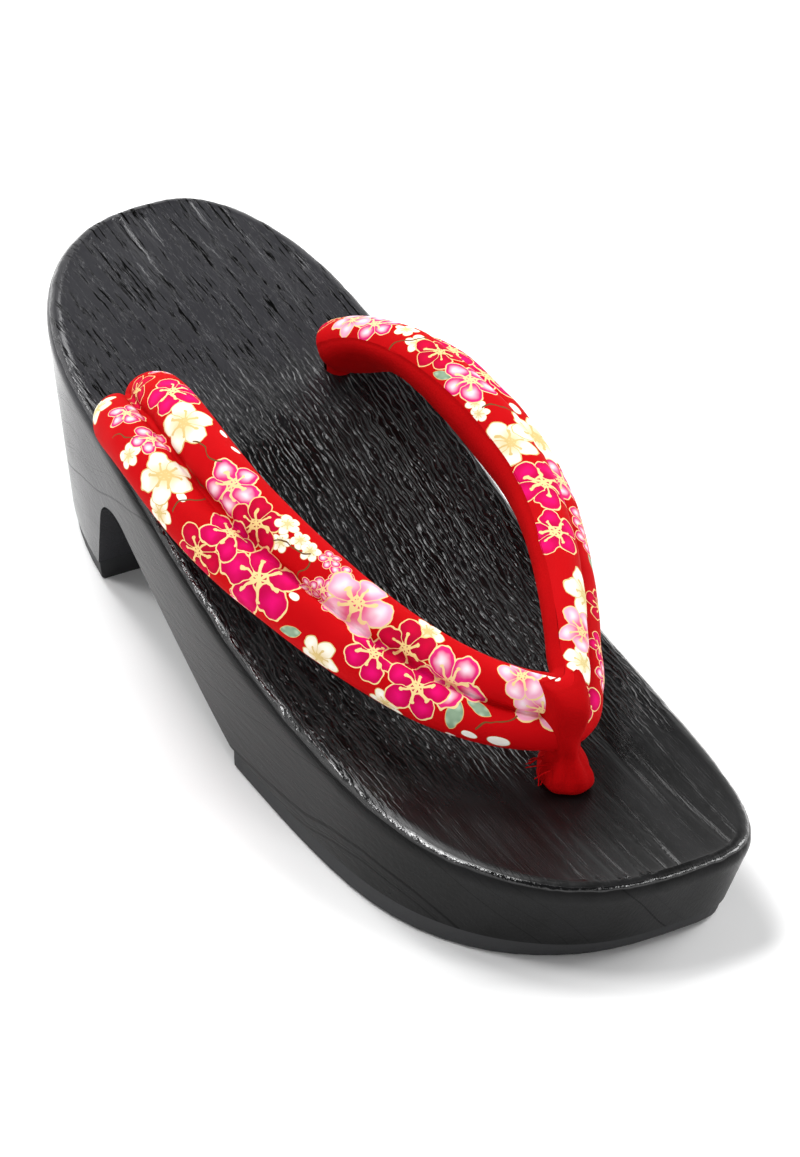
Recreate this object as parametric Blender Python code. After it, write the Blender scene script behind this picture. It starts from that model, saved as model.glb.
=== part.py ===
"""Wooden thong sandal for the right foot, with a raised heel and padded straps.

A black wooden block carries the foot. Its deck climbs from the toe to the heel,
an arch cut through from side to side leaves a forefoot and a heel standing, and
each stands on a thin rubber sole. A padded band of two rolls runs from a hole
near the heel to the front, turns there in a velvet loop set into the deck, and
runs back to a second hole. Its face is printed cotton and its underside velvet.

Metres, +Z up. The toe points to -Y and the big toe's side is +X. The origin is on
the floor, in the middle of the forefoot under the ball of the foot.
"""
import math

import bmesh
import bpy
import numpy as np

# Fit between touching pieces
CLEARANCE = 0.0003

# Block, seen from above
BLOCK_LENGTH = 0.242
BALL_STATION = 0.0538
MEDIAL_REACH = 0.0394
LATERAL_REACH = 0.0424
TOE_TIP_SIDE = 0.0108
HEEL_TIP_SIDE = 0.0104
MEDIAL_TOE_ROUNDING = 0.085
MEDIAL_TOE_POWER = 3.8
LATERAL_TOE_ROUNDING = 0.068
LATERAL_TOE_POWER = 2.5
HEEL_ROUNDING = 0.0643
HEEL_POWER = 2.5

# Half widths along the block, as shares of the reach of each side
# (share of the length, medial side, lateral side)
PLAN_ROWS = (
    (0.00, 1.04, 0.84),
    (0.17, 1.005, 0.91),
    (0.33, 1.00, 0.962),
    (0.50, 1.00, 1.00),
    (0.67, 0.998, 0.969),
    (0.83, 0.995, 0.88),
    (1.00, 0.985, 0.745),
)

# Deck
TOE_HEIGHT = 0.0232
HEEL_HEIGHT = 0.0614
DISH_DEPTH = 0.0009
EDGE_RADIUS = 0.0038

# Climb of the deck (share of the length, share of the climb from toe to heel)
DECK_ROWS = (
    (0.000, 0.000),
    (0.083, 0.013),
    (0.167, 0.045),
    (0.250, 0.092),
    (0.333, 0.149),
    (0.417, 0.254),
    (0.500, 0.411),
    (0.583, 0.565),
    (0.667, 0.702),
    (0.775, 0.820),
    (0.833, 0.877),
    (1.000, 1.000),
)

# How far the walls lean in, from the deck's edge down to the floor
TOE_UNDERCUT = 0.0084
SIDE_UNDERCUT = 0.0074

# (share of the length, share of the toe undercut, share of the side undercut)
UNDERCUT_ROWS = (
    (0.00, 1.00, 0.00),
    (0.04, 0.76, 0.00),
    (0.09, 0.40, 0.00),
    (0.15, 0.10, 0.00),
    (0.21, 0.00, 0.00),
    (0.32, 0.00, 0.05),
    (0.43, 0.00, 0.28),
    (0.60, 0.00, 0.70),
    (0.775, 0.00, 1.00),
    (0.92, 0.00, 0.84),
    (1.00, 0.00, 0.50),
)

# Rubber soles and the arch between them
SOLE_THICKNESS = 0.0049
SOLE_INSET = 0.0004
SOLE_EDGE = 0.0006
TOE_SPRING = 0.0011
TOE_SPRING_RUN = 0.026
STEP_STATION = 0.1055
ARCH_TOP_STATION = 0.1708
ARCH_TOP_HEIGHT = 0.0352
ARCH_CORNER_RADIUS = 0.0125
HEEL_FRONT_STATION = 0.1864
HEEL_FRONT_TOP_STATION = 0.1768
HEEL_FRONT_TOP_HEIGHT = 0.0232

# Holes that hold the straps
LOOP_HOLE_SIDE = 0.0046
LOOP_HOLE_STATION = 0.0400
LOOP_HOLE_RADIUS = 0.0037
LOOP_HOLE_DEPTH = 0.0130
MEDIAL_HOLE_STATION = 0.1700
LATERAL_HOLE_STATION = 0.1685
MEDIAL_HOLE_SIDE = 0.0220
LATERAL_HOLE_SIDE = -0.0322
REAR_HOLE_RADIUS = 0.0034
REAR_HOLE_DEPTH = 0.0085

# Padded band: two rolls side by side
BAND_FRONT_STATION = 0.0428
ROLL_RADIUS = 0.0061
CORD_RADIUS = 0.0028
BAND_RISE = 0.0238
LINING_SHARE = 0.90
SEAM_DROP = 0.12

# The band's way from the loop back to each rear hole. The run is a share of the
# way along the block, the reach a share of the way out to the hole, the rise a
# share of the band's height over the deck. The tilt, in degrees, is 0 where the
# band lies flat and 90 where it stands on edge. The roll is a share of its radius.
# (run, reach, rise, tilt, roll, half spacing of the rolls as a share of the roll)
MEDIAL_ROWS = (
    (0.017, 0.255, 0.640, 71, 0.74, 0.90),
    (0.062, 0.460, 0.680, 65, 0.79, 0.90),
    (0.138, 0.735, 0.790, 66, 0.86, 0.88),
    (0.228, 1.035, 0.885, 65, 0.91, 0.88),
    (0.324, 1.310, 0.960, 61, 0.95, 0.88),
    (0.421, 1.510, 1.000, 55, 0.97, 0.88),
    (0.524, 1.580, 1.010, 48, 0.98, 0.88),
    (0.625, 1.560, 0.975, 43, 0.98, 0.88),
    (0.718, 1.495, 0.900, 39, 0.97, 0.88),
    (0.804, 1.400, 0.785, 36, 0.95, 0.88),
    (0.868, 1.300, 0.645, 34, 0.93, 0.88),
    (0.918, 1.210, 0.500, 32, 0.92, 0.87),
    (0.956, 1.120, 0.375, 30, 0.90, 0.84),
    (0.984, 1.040, 0.270, 27, 0.83, 0.70),
    (0.998, 1.003, 0.160, 22, 0.66, 0.36),
    (0.9995, 1.001, 0.015, 18, 0.46, 0.06),
)
LATERAL_ROWS = (
    (0.017, 0.130, 0.630, 70, 0.74, 0.90),
    (0.065, 0.335, 0.650, 54, 0.78, 0.90),
    (0.138, 0.536, 0.690, 43, 0.85, 0.86),
    (0.228, 0.717, 0.780, 37, 0.91, 0.82),
    (0.324, 0.870, 0.870, 34, 0.95, 0.82),
    (0.414, 0.984, 0.930, 34, 0.98, 0.84),
    (0.498, 1.074, 0.950, 35, 1.00, 0.88),
    (0.584, 1.138, 0.940, 34, 1.00, 0.91),
    (0.672, 1.164, 0.905, 32, 1.00, 0.92),
    (0.769, 1.156, 0.820, 30, 1.00, 0.92),
    (0.853, 1.119, 0.670, 29, 1.00, 0.91),
    (0.912, 1.078, 0.515, 28, 1.00, 0.88),
    (0.954, 1.040, 0.385, 27, 0.97, 0.84),
    (0.984, 1.012, 0.275, 24, 0.87, 0.70),
    (0.998, 1.002, 0.165, 18, 0.66, 0.36),
    (0.9995, 1.001, 0.015, 16, 0.46, 0.06),
)
TURN_ROW = (0.0, 0.0, 0.630, 80, 0.74, 0.90)

# Velvet loop that grips the band where it turns
LOOP_HEIGHT = 0.0272
LOOP_HALF_WIDTH = 0.0046
LOOP_HALF_DEPTH = 0.0076
STEM_RADIUS = LOOP_HOLE_RADIUS - CLEARANCE
STEM_REACH = 0.0115

# (share of the height, half width, half depth, share of the way back to the band)
LOOP_ROWS = (
    (0.012, 0.92, 0.66, 0.0),
    (0.060, 1.00, 0.74, 0.0),
    (0.140, 0.98, 0.72, 0.0),
    (0.240, 0.84, 0.62, 0.1),
    (0.330, 0.74, 0.66, 0.4),
    (0.430, 0.82, 0.86, 0.8),
    (0.560, 0.92, 1.00, 1.0),
    (0.700, 0.97, 1.02, 1.1),
    (0.830, 0.95, 0.96, 1.2),
    (0.930, 0.78, 0.78, 1.3),
    (0.985, 0.50, 0.48, 1.3),
)

# How finely the shapes are divided
STATIONS = 44
DECK_COLUMNS = 7
EDGE_STEPS = 4
WALL_STEPS = 3
BAND_STEPS = 4
LOBE_POINTS = 8
SEAM_POINTS = 5


def cubic(rows, share):
    """Read a table smoothly: a curve through its rows with level-headed slopes."""
    table = np.array(rows, dtype=float)
    xs = table[:, 0]
    ys = table[:, 1:]
    gaps = np.diff(xs)[:, None]
    slopes = np.diff(ys, axis=0) / gaps
    tangents = np.zeros_like(ys)
    tangents[0] = slopes[0]
    tangents[-1] = slopes[-1]
    for row in range(1, len(xs) - 1):
        before, after = gaps[row - 1], gaps[row]
        tangents[row] = (slopes[row - 1] * after + slopes[row] * before) / (before + after)
    share = min(max(share, xs[0]), xs[-1])
    cell = min(int(np.searchsorted(xs, share, side="right")) - 1, len(xs) - 2)
    step = xs[cell + 1] - xs[cell]
    t = (share - xs[cell]) / step
    start = (1 + 2 * t) * (1 - t) ** 2 * ys[cell] + t * (1 - t) ** 2 * step * tangents[cell]
    stop = t * t * (3 - 2 * t) * ys[cell + 1] + t * t * (t - 1) * step * tangents[cell + 1]
    return start + stop


def rounding(run, length, power):
    """How full the outline is at a distance from its tip: 0 at the tip, 1 past it."""
    t = min(max(run / length, 0.0), 1.0)
    return (1 - (1 - t) ** power) ** (1 / power)


def outline_side(station, side):
    """X of the block's edge at a distance from the toe, on the medial (+1) side or the other."""
    share = station / BLOCK_LENGTH
    medial, lateral = cubic(PLAN_ROWS, share)
    if side > 0:
        toe = rounding(station, MEDIAL_TOE_ROUNDING, MEDIAL_TOE_POWER)
        reach = MEDIAL_REACH * medial
    else:
        toe = rounding(station, LATERAL_TOE_ROUNDING, LATERAL_TOE_POWER)
        reach = LATERAL_REACH * lateral
    heel = rounding(BLOCK_LENGTH - station, HEEL_ROUNDING, HEEL_POWER)
    return TOE_TIP_SIDE * (1 - toe) + HEEL_TIP_SIDE * (1 - heel) + side * reach * toe * heel


def plan_ring():
    """Outline of the deck from above, once round: toe, medial side, heel, lateral side."""
    stations = [BLOCK_LENGTH * (1 - math.cos(math.pi * i / STATIONS)) / 2 for i in range(STATIONS + 1)]
    medial = [(outline_side(s, 1), s) for s in stations]
    lateral = [(outline_side(s, -1), s) for s in reversed(stations[1:-1])]
    return np.array(medial + lateral)


def inward(ring):
    """Unit direction into the outline at each of its points."""
    ahead = np.roll(ring, -1, axis=0) - ring
    behind = ring - np.roll(ring, 1, axis=0)
    ahead /= np.linalg.norm(ahead, axis=1)[:, None]
    behind /= np.linalg.norm(behind, axis=1)[:, None]
    along = ahead + behind
    along /= np.linalg.norm(along, axis=1)[:, None]
    return np.stack([-along[:, 1], along[:, 0]], axis=1)


def deck_height(station):
    """Height of the deck's rim over the floor."""
    climb = float(cubic(DECK_ROWS, station / BLOCK_LENGTH)[0])
    return TOE_HEIGHT + (HEEL_HEIGHT - TOE_HEIGHT) * climb


def undercut(station):
    """How far the wall leans in between the deck's edge and the floor."""
    toe, side = cubic(UNDERCUT_ROWS, station / BLOCK_LENGTH)
    return TOE_UNDERCUT * max(toe, 0.0) + SIDE_UNDERCUT * max(side, 0.0)


def wall_ring(ring, into, height, extra):
    """The wall's outline at a height, or at its own height for each point."""
    points = []
    for (x, station), (nx, ny) in zip(ring, into):
        level = height(station) if callable(height) else height
        rim = deck_height(station)
        lean = undercut(station) * (rim - level) / rim + extra
        points.append((x + nx * lean, station + ny * lean - BALL_STATION, level))
    return points


def new_object(name, verts, faces, collection):
    """An object whose faces all point outwards."""
    mesh = bpy.data.meshes.new(name)
    mesh.from_pydata([tuple(v) for v in verts], [], faces)
    bm = bmesh.new()
    bm.from_mesh(mesh)
    bmesh.ops.recalc_face_normals(bm, faces=bm.faces)
    bm.to_mesh(mesh)
    bm.free()
    mesh.validate()
    obj = bpy.data.objects.new(name, mesh)
    collection.objects.link(obj)
    return obj


def loft(rings, close_ends=True):
    """Join rings of equal length by quads, with a flat face at each end."""
    verts = [point for ring in rings for point in ring]
    size = len(rings[0])
    faces = []
    for level in range(len(rings) - 1):
        for i in range(size):
            j = (i + 1) % size
            faces.append((level * size + i, level * size + j, (level + 1) * size + j, (level + 1) * size + i))
    if close_ends:
        faces.append(tuple(range(size - 1, -1, -1)))
        faces.append(tuple(range((len(rings) - 1) * size, len(rings) * size)))
    return verts, faces


def paint(obj, colour, roughness, metallic=0.0):
    """Give an object its own material."""
    material = bpy.data.materials.new(obj.name)
    material.use_nodes = True
    shader = material.node_tree.nodes["Principled BSDF"]
    shader.inputs["Base Color"].default_value = (*colour, 1.0)
    shader.inputs["Roughness"].default_value = roughness
    shader.inputs["Metallic"].default_value = metallic
    obj.data.materials.clear()
    obj.data.materials.append(material)


def smooth(obj, angle):
    """Shade round faces smooth and keep edges sharper than the angle."""
    obj.data.shade_smooth()
    obj.data.set_sharp_from_angle(angle=math.radians(angle))


def cut(obj, cutter):
    """Take a cutter's volume out of an object."""
    boolean = obj.modifiers.new("cut " + cutter.name, "BOOLEAN")
    boolean.operation = "DIFFERENCE"
    boolean.solver = "EXACT"
    boolean.object = cutter
    cutter.hide_render = True
    cutter.display_type = "WIRE"


def make_block(parts):
    """The wooden block: walls, a rounded rim and a dished deck, before any cut."""
    ring = plan_ring()
    into = inward(ring)
    rings = []
    bottom = SOLE_THICKNESS + CLEARANCE
    for step in range(WALL_STEPS + 1):
        share = step / WALL_STEPS

        def level(station, share=share):
            return bottom + (deck_height(station) - EDGE_RADIUS - bottom) * share

        rings.append(wall_ring(ring, into, level, 0.0))
    for step in range(1, EDGE_STEPS + 1):
        angle = math.pi / 2 * step / EDGE_STEPS
        drop = EDGE_RADIUS * (1 - math.sin(angle))
        tuck = EDGE_RADIUS * (1 - math.cos(angle))

        def level(station, drop=drop):
            return deck_height(station) - drop

        rings.append(wall_ring(ring, into, level, tuck))
    size = len(ring)
    verts, faces = loft(rings, close_ends=False)
    faces.append(tuple(range(size - 1, -1, -1)))

    # Deck: rows from the lateral rim to the medial rim, lowered towards the middle
    rim = (len(rings) - 1) * size
    rows = []
    for i in range(1, STATIONS):
        medial = rim + i
        lateral = rim + size - i
        row = [lateral]
        for column in range(1, DECK_COLUMNS):
            share = column / DECK_COLUMNS
            a = np.array(verts[lateral])
            b = np.array(verts[medial])
            width = np.linalg.norm(b - a) / (MEDIAL_REACH + LATERAL_REACH)
            point = a + (b - a) * share
            point[2] -= DISH_DEPTH * min(width * 1.15, 1.0) * (1 - (2 * share - 1) ** 2)
            row.append(len(verts))
            verts.append(tuple(point))
        row.append(medial)
        rows.append(row)
    for lower, upper in zip(rows, rows[1:]):
        for column in range(DECK_COLUMNS):
            faces.append((lower[column], lower[column + 1], upper[column + 1], upper[column]))
    for column in range(DECK_COLUMNS):
        faces.append((rim, rows[0][column + 1], rows[0][column]))
        faces.append((rim + STATIONS, rows[-1][column], rows[-1][column + 1]))
    block = new_object("deck_block", verts, faces, parts)
    paint(block, (0.012, 0.012, 0.013), 0.42)
    return block


def heel_front(height):
    """How far from the toe the heel's front face stands at a height."""
    lean = HEEL_FRONT_TOP_STATION - HEEL_FRONT_STATION
    return HEEL_FRONT_STATION + lean * height / HEEL_FRONT_TOP_HEIGHT


def make_arch(cutters):
    """The arch: a rising ceiling, a rounded corner and the heel's front face."""
    start = np.array([STEP_STATION + CLEARANCE, SOLE_THICKNESS])
    corner = np.array([ARCH_TOP_STATION, ARCH_TOP_HEIGHT])
    foot = np.array([HEEL_FRONT_STATION, 0.0])
    face_top = np.array([HEEL_FRONT_TOP_STATION, HEEL_FRONT_TOP_HEIGHT])
    down = (foot - face_top) / np.linalg.norm(foot - face_top)
    rise = (corner - start) / np.linalg.norm(corner - start)
    # the corner where the ceiling's line meets the heel face's line
    meet = np.linalg.solve(np.array([rise, -down]).T, foot - start)
    tip = start + rise * meet[0]
    half = math.acos(float(np.dot(-rise, down))) / 2
    tangent = ARCH_CORNER_RADIUS / math.tan(half)
    first = tip - rise * tangent
    middle = tip + (down - rise) / np.linalg.norm(down - rise) * ARCH_CORNER_RADIUS / math.sin(half)
    last = tip + down * tangent
    profile = [(STEP_STATION + CLEARANCE, -0.02), tuple(start)]
    angle_a = math.atan2(*(first - middle)[::-1])
    angle_b = math.atan2(*(last - middle)[::-1])
    for i in range(13):
        angle = angle_a + (angle_b - angle_a) * i / 12
        profile.append(tuple(middle + ARCH_CORNER_RADIUS * np.array([math.cos(angle), math.sin(angle)])))
    profile.append(tuple(foot + down * 0.02))
    reach = 2 * (MEDIAL_REACH + LATERAL_REACH)
    rings = []
    for x in (-reach, reach):
        rings.append([(x, station - BALL_STATION, height) for station, height in profile])
    verts, faces = loft(rings)
    return new_object("arch_cutter", verts, faces, cutters)


def make_hole(name, x, station, radius, depth, cutters):
    """A round cutter standing in the deck, down to a depth."""
    bm = bmesh.new()
    bmesh.ops.create_cone(bm, cap_ends=True, segments=24, radius1=radius, radius2=radius, depth=2 * depth)
    mesh = bpy.data.meshes.new(name)
    bm.to_mesh(mesh)
    bm.free()
    cutter = bpy.data.objects.new(name, mesh)
    cutter.location = (x, station - BALL_STATION, deck_height(station))
    cutters.objects.link(cutter)
    return cutter


def make_sole(name, front, back, parts):
    """A rubber sole under the block, between two stations, with a softened lower edge."""
    ring = plan_ring()
    into = inward(ring)

    def tread(station):
        return TOE_SPRING * max(1 - station / TOE_SPRING_RUN, 0.0) ** 2

    def tread_edge(station):
        return tread(station) + SOLE_EDGE

    rings = [
        wall_ring(ring, into, tread, SOLE_INSET + SOLE_EDGE),
        wall_ring(ring, into, tread_edge, SOLE_INSET),
        wall_ring(ring, into, SOLE_THICKNESS, SOLE_INSET),
    ]
    size = len(ring)
    verts, faces = loft(rings, close_ends=False)
    for level in (0, len(rings) - 1):
        base = level * size
        for i in range(1, STATIONS - 1):
            faces.append((base + i, base + i + 1, base + size - i - 1, base + size - i))
        faces.append((base, base + 1, base + size - 1))
        faces.append((base + STATIONS, base + STATIONS + 1, base + STATIONS - 1))
    sole = new_object(name, verts, faces, parts)
    bm = bmesh.new()
    bm.from_mesh(sole.data)
    for station, keep in ((front, 1), (back, -1)):
        if station is None:
            continue
        geometry = bm.verts[:] + bm.edges[:] + bm.faces[:]
        bmesh.ops.bisect_plane(
            bm, geom=geometry, dist=1e-7,
            plane_co=(0, station - BALL_STATION, 0), plane_no=(0, keep, 0), clear_inner=True,
        )
        rim = [edge for edge in bm.edges if edge.is_boundary]
        bmesh.ops.holes_fill(bm, edges=rim, sides=0)
    bmesh.ops.recalc_face_normals(bm, faces=bm.faces)
    bm.to_mesh(sole.data)
    bm.free()
    smooth(sole, 35)
    paint(sole, (0.014, 0.014, 0.014), 0.8)
    return sole


def band_path():
    """Stations of the band: place, direction, across direction, outward direction and size."""
    rows = []
    for row in reversed(LATERAL_ROWS):
        rows.append((-1, row))
    rows.append((0, TURN_ROW))
    for row in MEDIAL_ROWS:
        rows.append((1, row))
    keys = []
    for side, (along, reach, rise, tilt, roll, spacing) in rows:
        hole = MEDIAL_HOLE_SIDE if side > 0 else LATERAL_HOLE_SIDE
        last = MEDIAL_HOLE_STATION if side > 0 else LATERAL_HOLE_STATION
        station = BAND_FRONT_STATION + along * (last - BAND_FRONT_STATION)
        x = LOOP_HOLE_SIDE + reach * abs(hole - LOOP_HOLE_SIDE) * side
        z = deck_height(station) + rise * BAND_RISE
        keys.append((x, station - BALL_STATION, z, math.radians(tilt), roll * ROLL_RADIUS, spacing))
    # the cord's ends, straight down into the rear holes
    for end, hole, station in (
        (0, LATERAL_HOLE_SIDE, LATERAL_HOLE_STATION),
        (-1, MEDIAL_HOLE_SIDE, MEDIAL_HOLE_STATION),
    ):
        depth = deck_height(station) - REAR_HOLE_DEPTH + 2 * CLEARANCE
        tip = (hole, station - BALL_STATION, depth, keys[end][3], CORD_RADIUS, 0.06)
        if end == 0:
            keys.insert(0, tip)
        else:
            keys.append(tip)
    keys = np.array(keys)
    distance = [0.0]
    for before, after in zip(keys, keys[1:]):
        distance.append(distance[-1] + float(np.linalg.norm(after[:3] - before[:3])))
    table = np.column_stack([distance, keys])
    places = []
    for before, after in zip(distance, distance[1:]):
        steps = max(1, min(BAND_STEPS, int(round((after - before) / 0.0024))))
        places += [before + (after - before) * i / steps for i in range(steps)]
    places.append(distance[-1])
    samples = np.array([cubic(table, place) for place in places])
    nudge = 0.0004
    frames = []
    for place, sample in zip(places, samples):
        along = cubic(table, place + nudge)[:3] - cubic(table, place - nudge)[:3]
        along /= np.linalg.norm(along)
        frames.append((sample[:3], along, sample[3], sample[4], sample[5]))
    return frames


def band_frames():
    """Add the across and outward directions, kept steady where the cord turns down."""
    frames = []
    level_before = None
    for centre, along, tilt, roll, spacing in band_path():
        # level direction to the outside of the V, square to the path
        level = np.array([along[1], -along[0], 0.0])
        flat = np.linalg.norm(level)
        if level_before is not None and flat < 0.35:
            level = level_before - along * np.dot(level_before, along)
            flat = np.linalg.norm(level)
        level /= flat
        level_before = level
        up = np.cross(level, along)
        up *= 1 if up[2] > -0.2 else -1
        across = math.cos(tilt) * level - math.sin(tilt) * up
        out = math.cos(tilt) * up + math.sin(tilt) * level
        frames.append((centre, across, out, roll, spacing))
    return frames


def face_section(roll, spacing, gap):
    """Printed half of the band: two rolls with a groove between, closed by a flat seam."""
    half = spacing * roll
    low = math.asin(-SEAM_DROP)
    crease = math.acos(min(half / (roll + gap), 1.0))
    points = []
    for i in range(LOBE_POINTS):
        angle = math.pi - low + (crease - (math.pi - low)) * i / LOBE_POINTS
        points.append((-half + (roll + gap) * math.cos(angle), (roll + gap) * math.sin(angle)))
    points.append((0.0, (roll + gap) * math.sin(crease)))
    for i in range(1, LOBE_POINTS + 1):
        angle = math.pi - crease + (low - (math.pi - crease)) * i / LOBE_POINTS
        points.append((half + (roll + gap) * math.cos(angle), (roll + gap) * math.sin(angle)))
    return points


def lining_section(roll, spacing, gap):
    """Velvet half of the band: from the seam round the flatter underside."""
    half = spacing * roll
    width = half + (roll + gap) * math.cos(math.asin(SEAM_DROP))
    drop = SEAM_DROP * roll
    depth = LINING_SHARE * roll + gap - drop
    points = []
    count = LOBE_POINTS + 2
    for i in range(count + 1):
        angle = math.pi * i / count
        a = math.copysign(abs(math.cos(angle)) ** 0.8, math.cos(angle))
        b = abs(math.sin(angle)) ** 0.8
        points.append((width * a, -drop - depth * b))
    return points


def seam_points(roll, spacing, gap):
    """Points across the seam between the halves, from the outer edge to the inner edge."""
    width = spacing * roll + roll * math.cos(math.asin(SEAM_DROP))
    level = -SEAM_DROP * roll + gap
    count = SEAM_POINTS + 1
    return [(width * (1 - 2 * i / count), level) for i in range(1, count)]


def place_section(frame, section):
    """Carry a section's points to its place on the band."""
    centre, across, out = frame[0], frame[1], frame[2]
    return [tuple(centre + across * a + out * b) for a, b in section]


def make_band(parts, cutters):
    """The printed face, the velvet lining, and a cutter of both for the loop."""
    frames = band_frames()
    face_rings = []
    lining_rings = []
    grip_rings = []
    nearest = min(range(len(frames)), key=lambda i: frames[i][0][1])
    for i, frame in enumerate(frames):
        roll, spacing = frame[3], frame[4]
        seam = CLEARANCE / 2
        low = -SEAM_DROP * roll
        face = [(a, max(b, low + seam)) for a, b in face_section(roll, spacing, 0.0)]
        face_rings.append(place_section(frame, face + seam_points(roll, spacing, seam)))
        lining = [(a, min(b, low - seam)) for a, b in reversed(lining_section(roll, spacing, 0.0))]
        lining_rings.append(place_section(frame, lining + seam_points(roll, spacing, -seam)))
        if abs(i - nearest) <= 9:
            whole = face_section(roll, spacing, CLEARANCE)
            whole += lining_section(roll, spacing, CLEARANCE)[1:-1]
            grip_rings.append(place_section(frame, whole))
    face = new_object("strap_face", *loft(face_rings), parts)
    lining = new_object("strap_lining", *loft(lining_rings), parts)
    grip = new_object("band_cutter", *loft(grip_rings), cutters)
    for obj in (face, lining):
        smooth(obj, 50)
    paint(face, (0.52, 0.006, 0.012), 0.75)
    paint(lining, (0.42, 0.002, 0.006), 0.9)
    return face, lining, grip


def make_loop(parts):
    """Velvet loop: a stem in the deck, a waist, and a body that wraps the band."""
    count = 20
    base = deck_height(LOOP_HOLE_STATION) - DISH_DEPTH
    back = BAND_FRONT_STATION - LOOP_HOLE_STATION
    rings = []
    floor = base - STEM_REACH
    for height in (floor, base + CLEARANCE):
        rings.append([
            (
                LOOP_HOLE_SIDE + STEM_RADIUS * math.cos(2 * math.pi * i / count),
                LOOP_HOLE_STATION - BALL_STATION + STEM_RADIUS * math.sin(2 * math.pi * i / count),
                height,
            )
            for i in range(count)
        ])
    for share, wide, deep, shift in LOOP_ROWS:
        ring = []
        height = share * LOOP_HEIGHT
        for i in range(count):
            angle = 2 * math.pi * i / count
            x = LOOP_HOLE_SIDE + wide * LOOP_HALF_WIDTH * math.copysign(abs(math.cos(angle)) ** 0.9, math.cos(angle))
            station = LOOP_HOLE_STATION + shift * back + deep * LOOP_HALF_DEPTH * math.sin(angle)
            follow = max(0.0, 1 - height / 0.010)
            slope = (deck_height(station) - deck_height(LOOP_HOLE_STATION)) * follow
            ring.append((x, station - BALL_STATION, base + 2 * CLEARANCE + height + slope))
        rings.append(ring)
    loop = new_object("toe_loop", *loft(rings), parts)
    paint(loop, (0.42, 0.002, 0.006), 0.9)
    return loop


def build():
    """Clear the scene and build the sandal."""
    for obj in list(bpy.data.objects):
        bpy.data.objects.remove(obj, do_unlink=True)
    parts = bpy.data.collections.new("sandal")
    cutters = bpy.data.collections.new("cutters")
    bpy.context.scene.collection.children.link(parts)
    bpy.context.scene.collection.children.link(cutters)

    block = make_block(parts)
    cut(block, make_arch(cutters))
    holes = (
        ("loop_hole", LOOP_HOLE_SIDE, LOOP_HOLE_STATION, LOOP_HOLE_RADIUS, LOOP_HOLE_DEPTH),
        ("medial_hole", MEDIAL_HOLE_SIDE, MEDIAL_HOLE_STATION, REAR_HOLE_RADIUS, REAR_HOLE_DEPTH),
        ("lateral_hole", LATERAL_HOLE_SIDE, LATERAL_HOLE_STATION, REAR_HOLE_RADIUS, REAR_HOLE_DEPTH),
    )
    for name, x, station, radius, depth in holes:
        cut(block, make_hole(name, x, station, radius, depth, cutters))
    smooth(block, 40)

    make_sole("forefoot_sole", None, STEP_STATION, parts)
    make_sole("heel_sole", heel_front(SOLE_THICKNESS) + CLEARANCE, None, parts)
    grip = make_band(parts, cutters)[2]
    loop = make_loop(parts)
    cut(loop, grip)
    smooth(loop, 50)


build()
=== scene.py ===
"""Looks of a wooden thong sandal for the right foot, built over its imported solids.

Metres, +Z up. The toe points to -Y and the big toe's side is +X. Distances called
station are measured along the block from the tip of the toe.
"""
import math
import random

import bmesh
import bpy
import numpy as np
from mathutils import Matrix, Vector, noise


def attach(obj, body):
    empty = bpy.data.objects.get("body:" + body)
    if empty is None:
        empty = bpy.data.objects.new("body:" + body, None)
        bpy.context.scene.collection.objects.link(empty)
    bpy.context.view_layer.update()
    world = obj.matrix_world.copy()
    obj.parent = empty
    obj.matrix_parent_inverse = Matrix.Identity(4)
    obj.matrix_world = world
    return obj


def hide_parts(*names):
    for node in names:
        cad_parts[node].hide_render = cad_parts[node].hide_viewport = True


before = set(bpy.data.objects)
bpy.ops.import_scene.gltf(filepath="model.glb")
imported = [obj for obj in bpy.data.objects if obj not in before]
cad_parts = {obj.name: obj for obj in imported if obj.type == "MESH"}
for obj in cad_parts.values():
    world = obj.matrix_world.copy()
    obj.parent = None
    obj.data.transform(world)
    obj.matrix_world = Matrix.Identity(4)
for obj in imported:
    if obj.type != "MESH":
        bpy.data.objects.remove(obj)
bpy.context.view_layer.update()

# The block: one piece of paulownia, sawn, shaped and burnt, then brushed so that the
# hard growth lines stand proud, and finished with black lacquer. The rim is rounded
# by hand. An arch is cut through from side to side, and three holes hold the straps.
CLEARANCE = 0.0003
BLOCK_LENGTH = 0.242
BALL_STATION = 0.0538
MEDIAL_REACH = 0.0394
LATERAL_REACH = 0.0424
TOE_TIP_SIDE = 0.0108
HEEL_TIP_SIDE = 0.0104
MEDIAL_TOE_ROUNDING = 0.085
MEDIAL_TOE_POWER = 3.8
LATERAL_TOE_ROUNDING = 0.068
LATERAL_TOE_POWER = 2.5
HEEL_ROUNDING = 0.0643
HEEL_POWER = 2.5

# share of the length, medial and lateral half width as shares of the reach
PLAN_ROWS = (
    (0.00, 1.04, 0.84),
    (0.17, 1.005, 0.91),
    (0.33, 1.00, 0.962),
    (0.50, 1.00, 1.00),
    (0.67, 0.998, 0.969),
    (0.83, 0.995, 0.88),
    (1.00, 0.985, 0.745),
)
TOE_HEIGHT = 0.0232
HEEL_HEIGHT = 0.0614
DISH_DEPTH = 0.0009
EDGE_RADIUS = 0.0038

# share of the length, share of the climb from toe to heel
DECK_ROWS = (
    (0.000, 0.000),
    (0.083, 0.013),
    (0.167, 0.045),
    (0.250, 0.092),
    (0.333, 0.149),
    (0.417, 0.254),
    (0.500, 0.411),
    (0.583, 0.565),
    (0.667, 0.702),
    (0.775, 0.820),
    (0.833, 0.877),
    (1.000, 1.000),
)
TOE_UNDERCUT = 0.0084
SIDE_UNDERCUT = 0.0074

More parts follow.
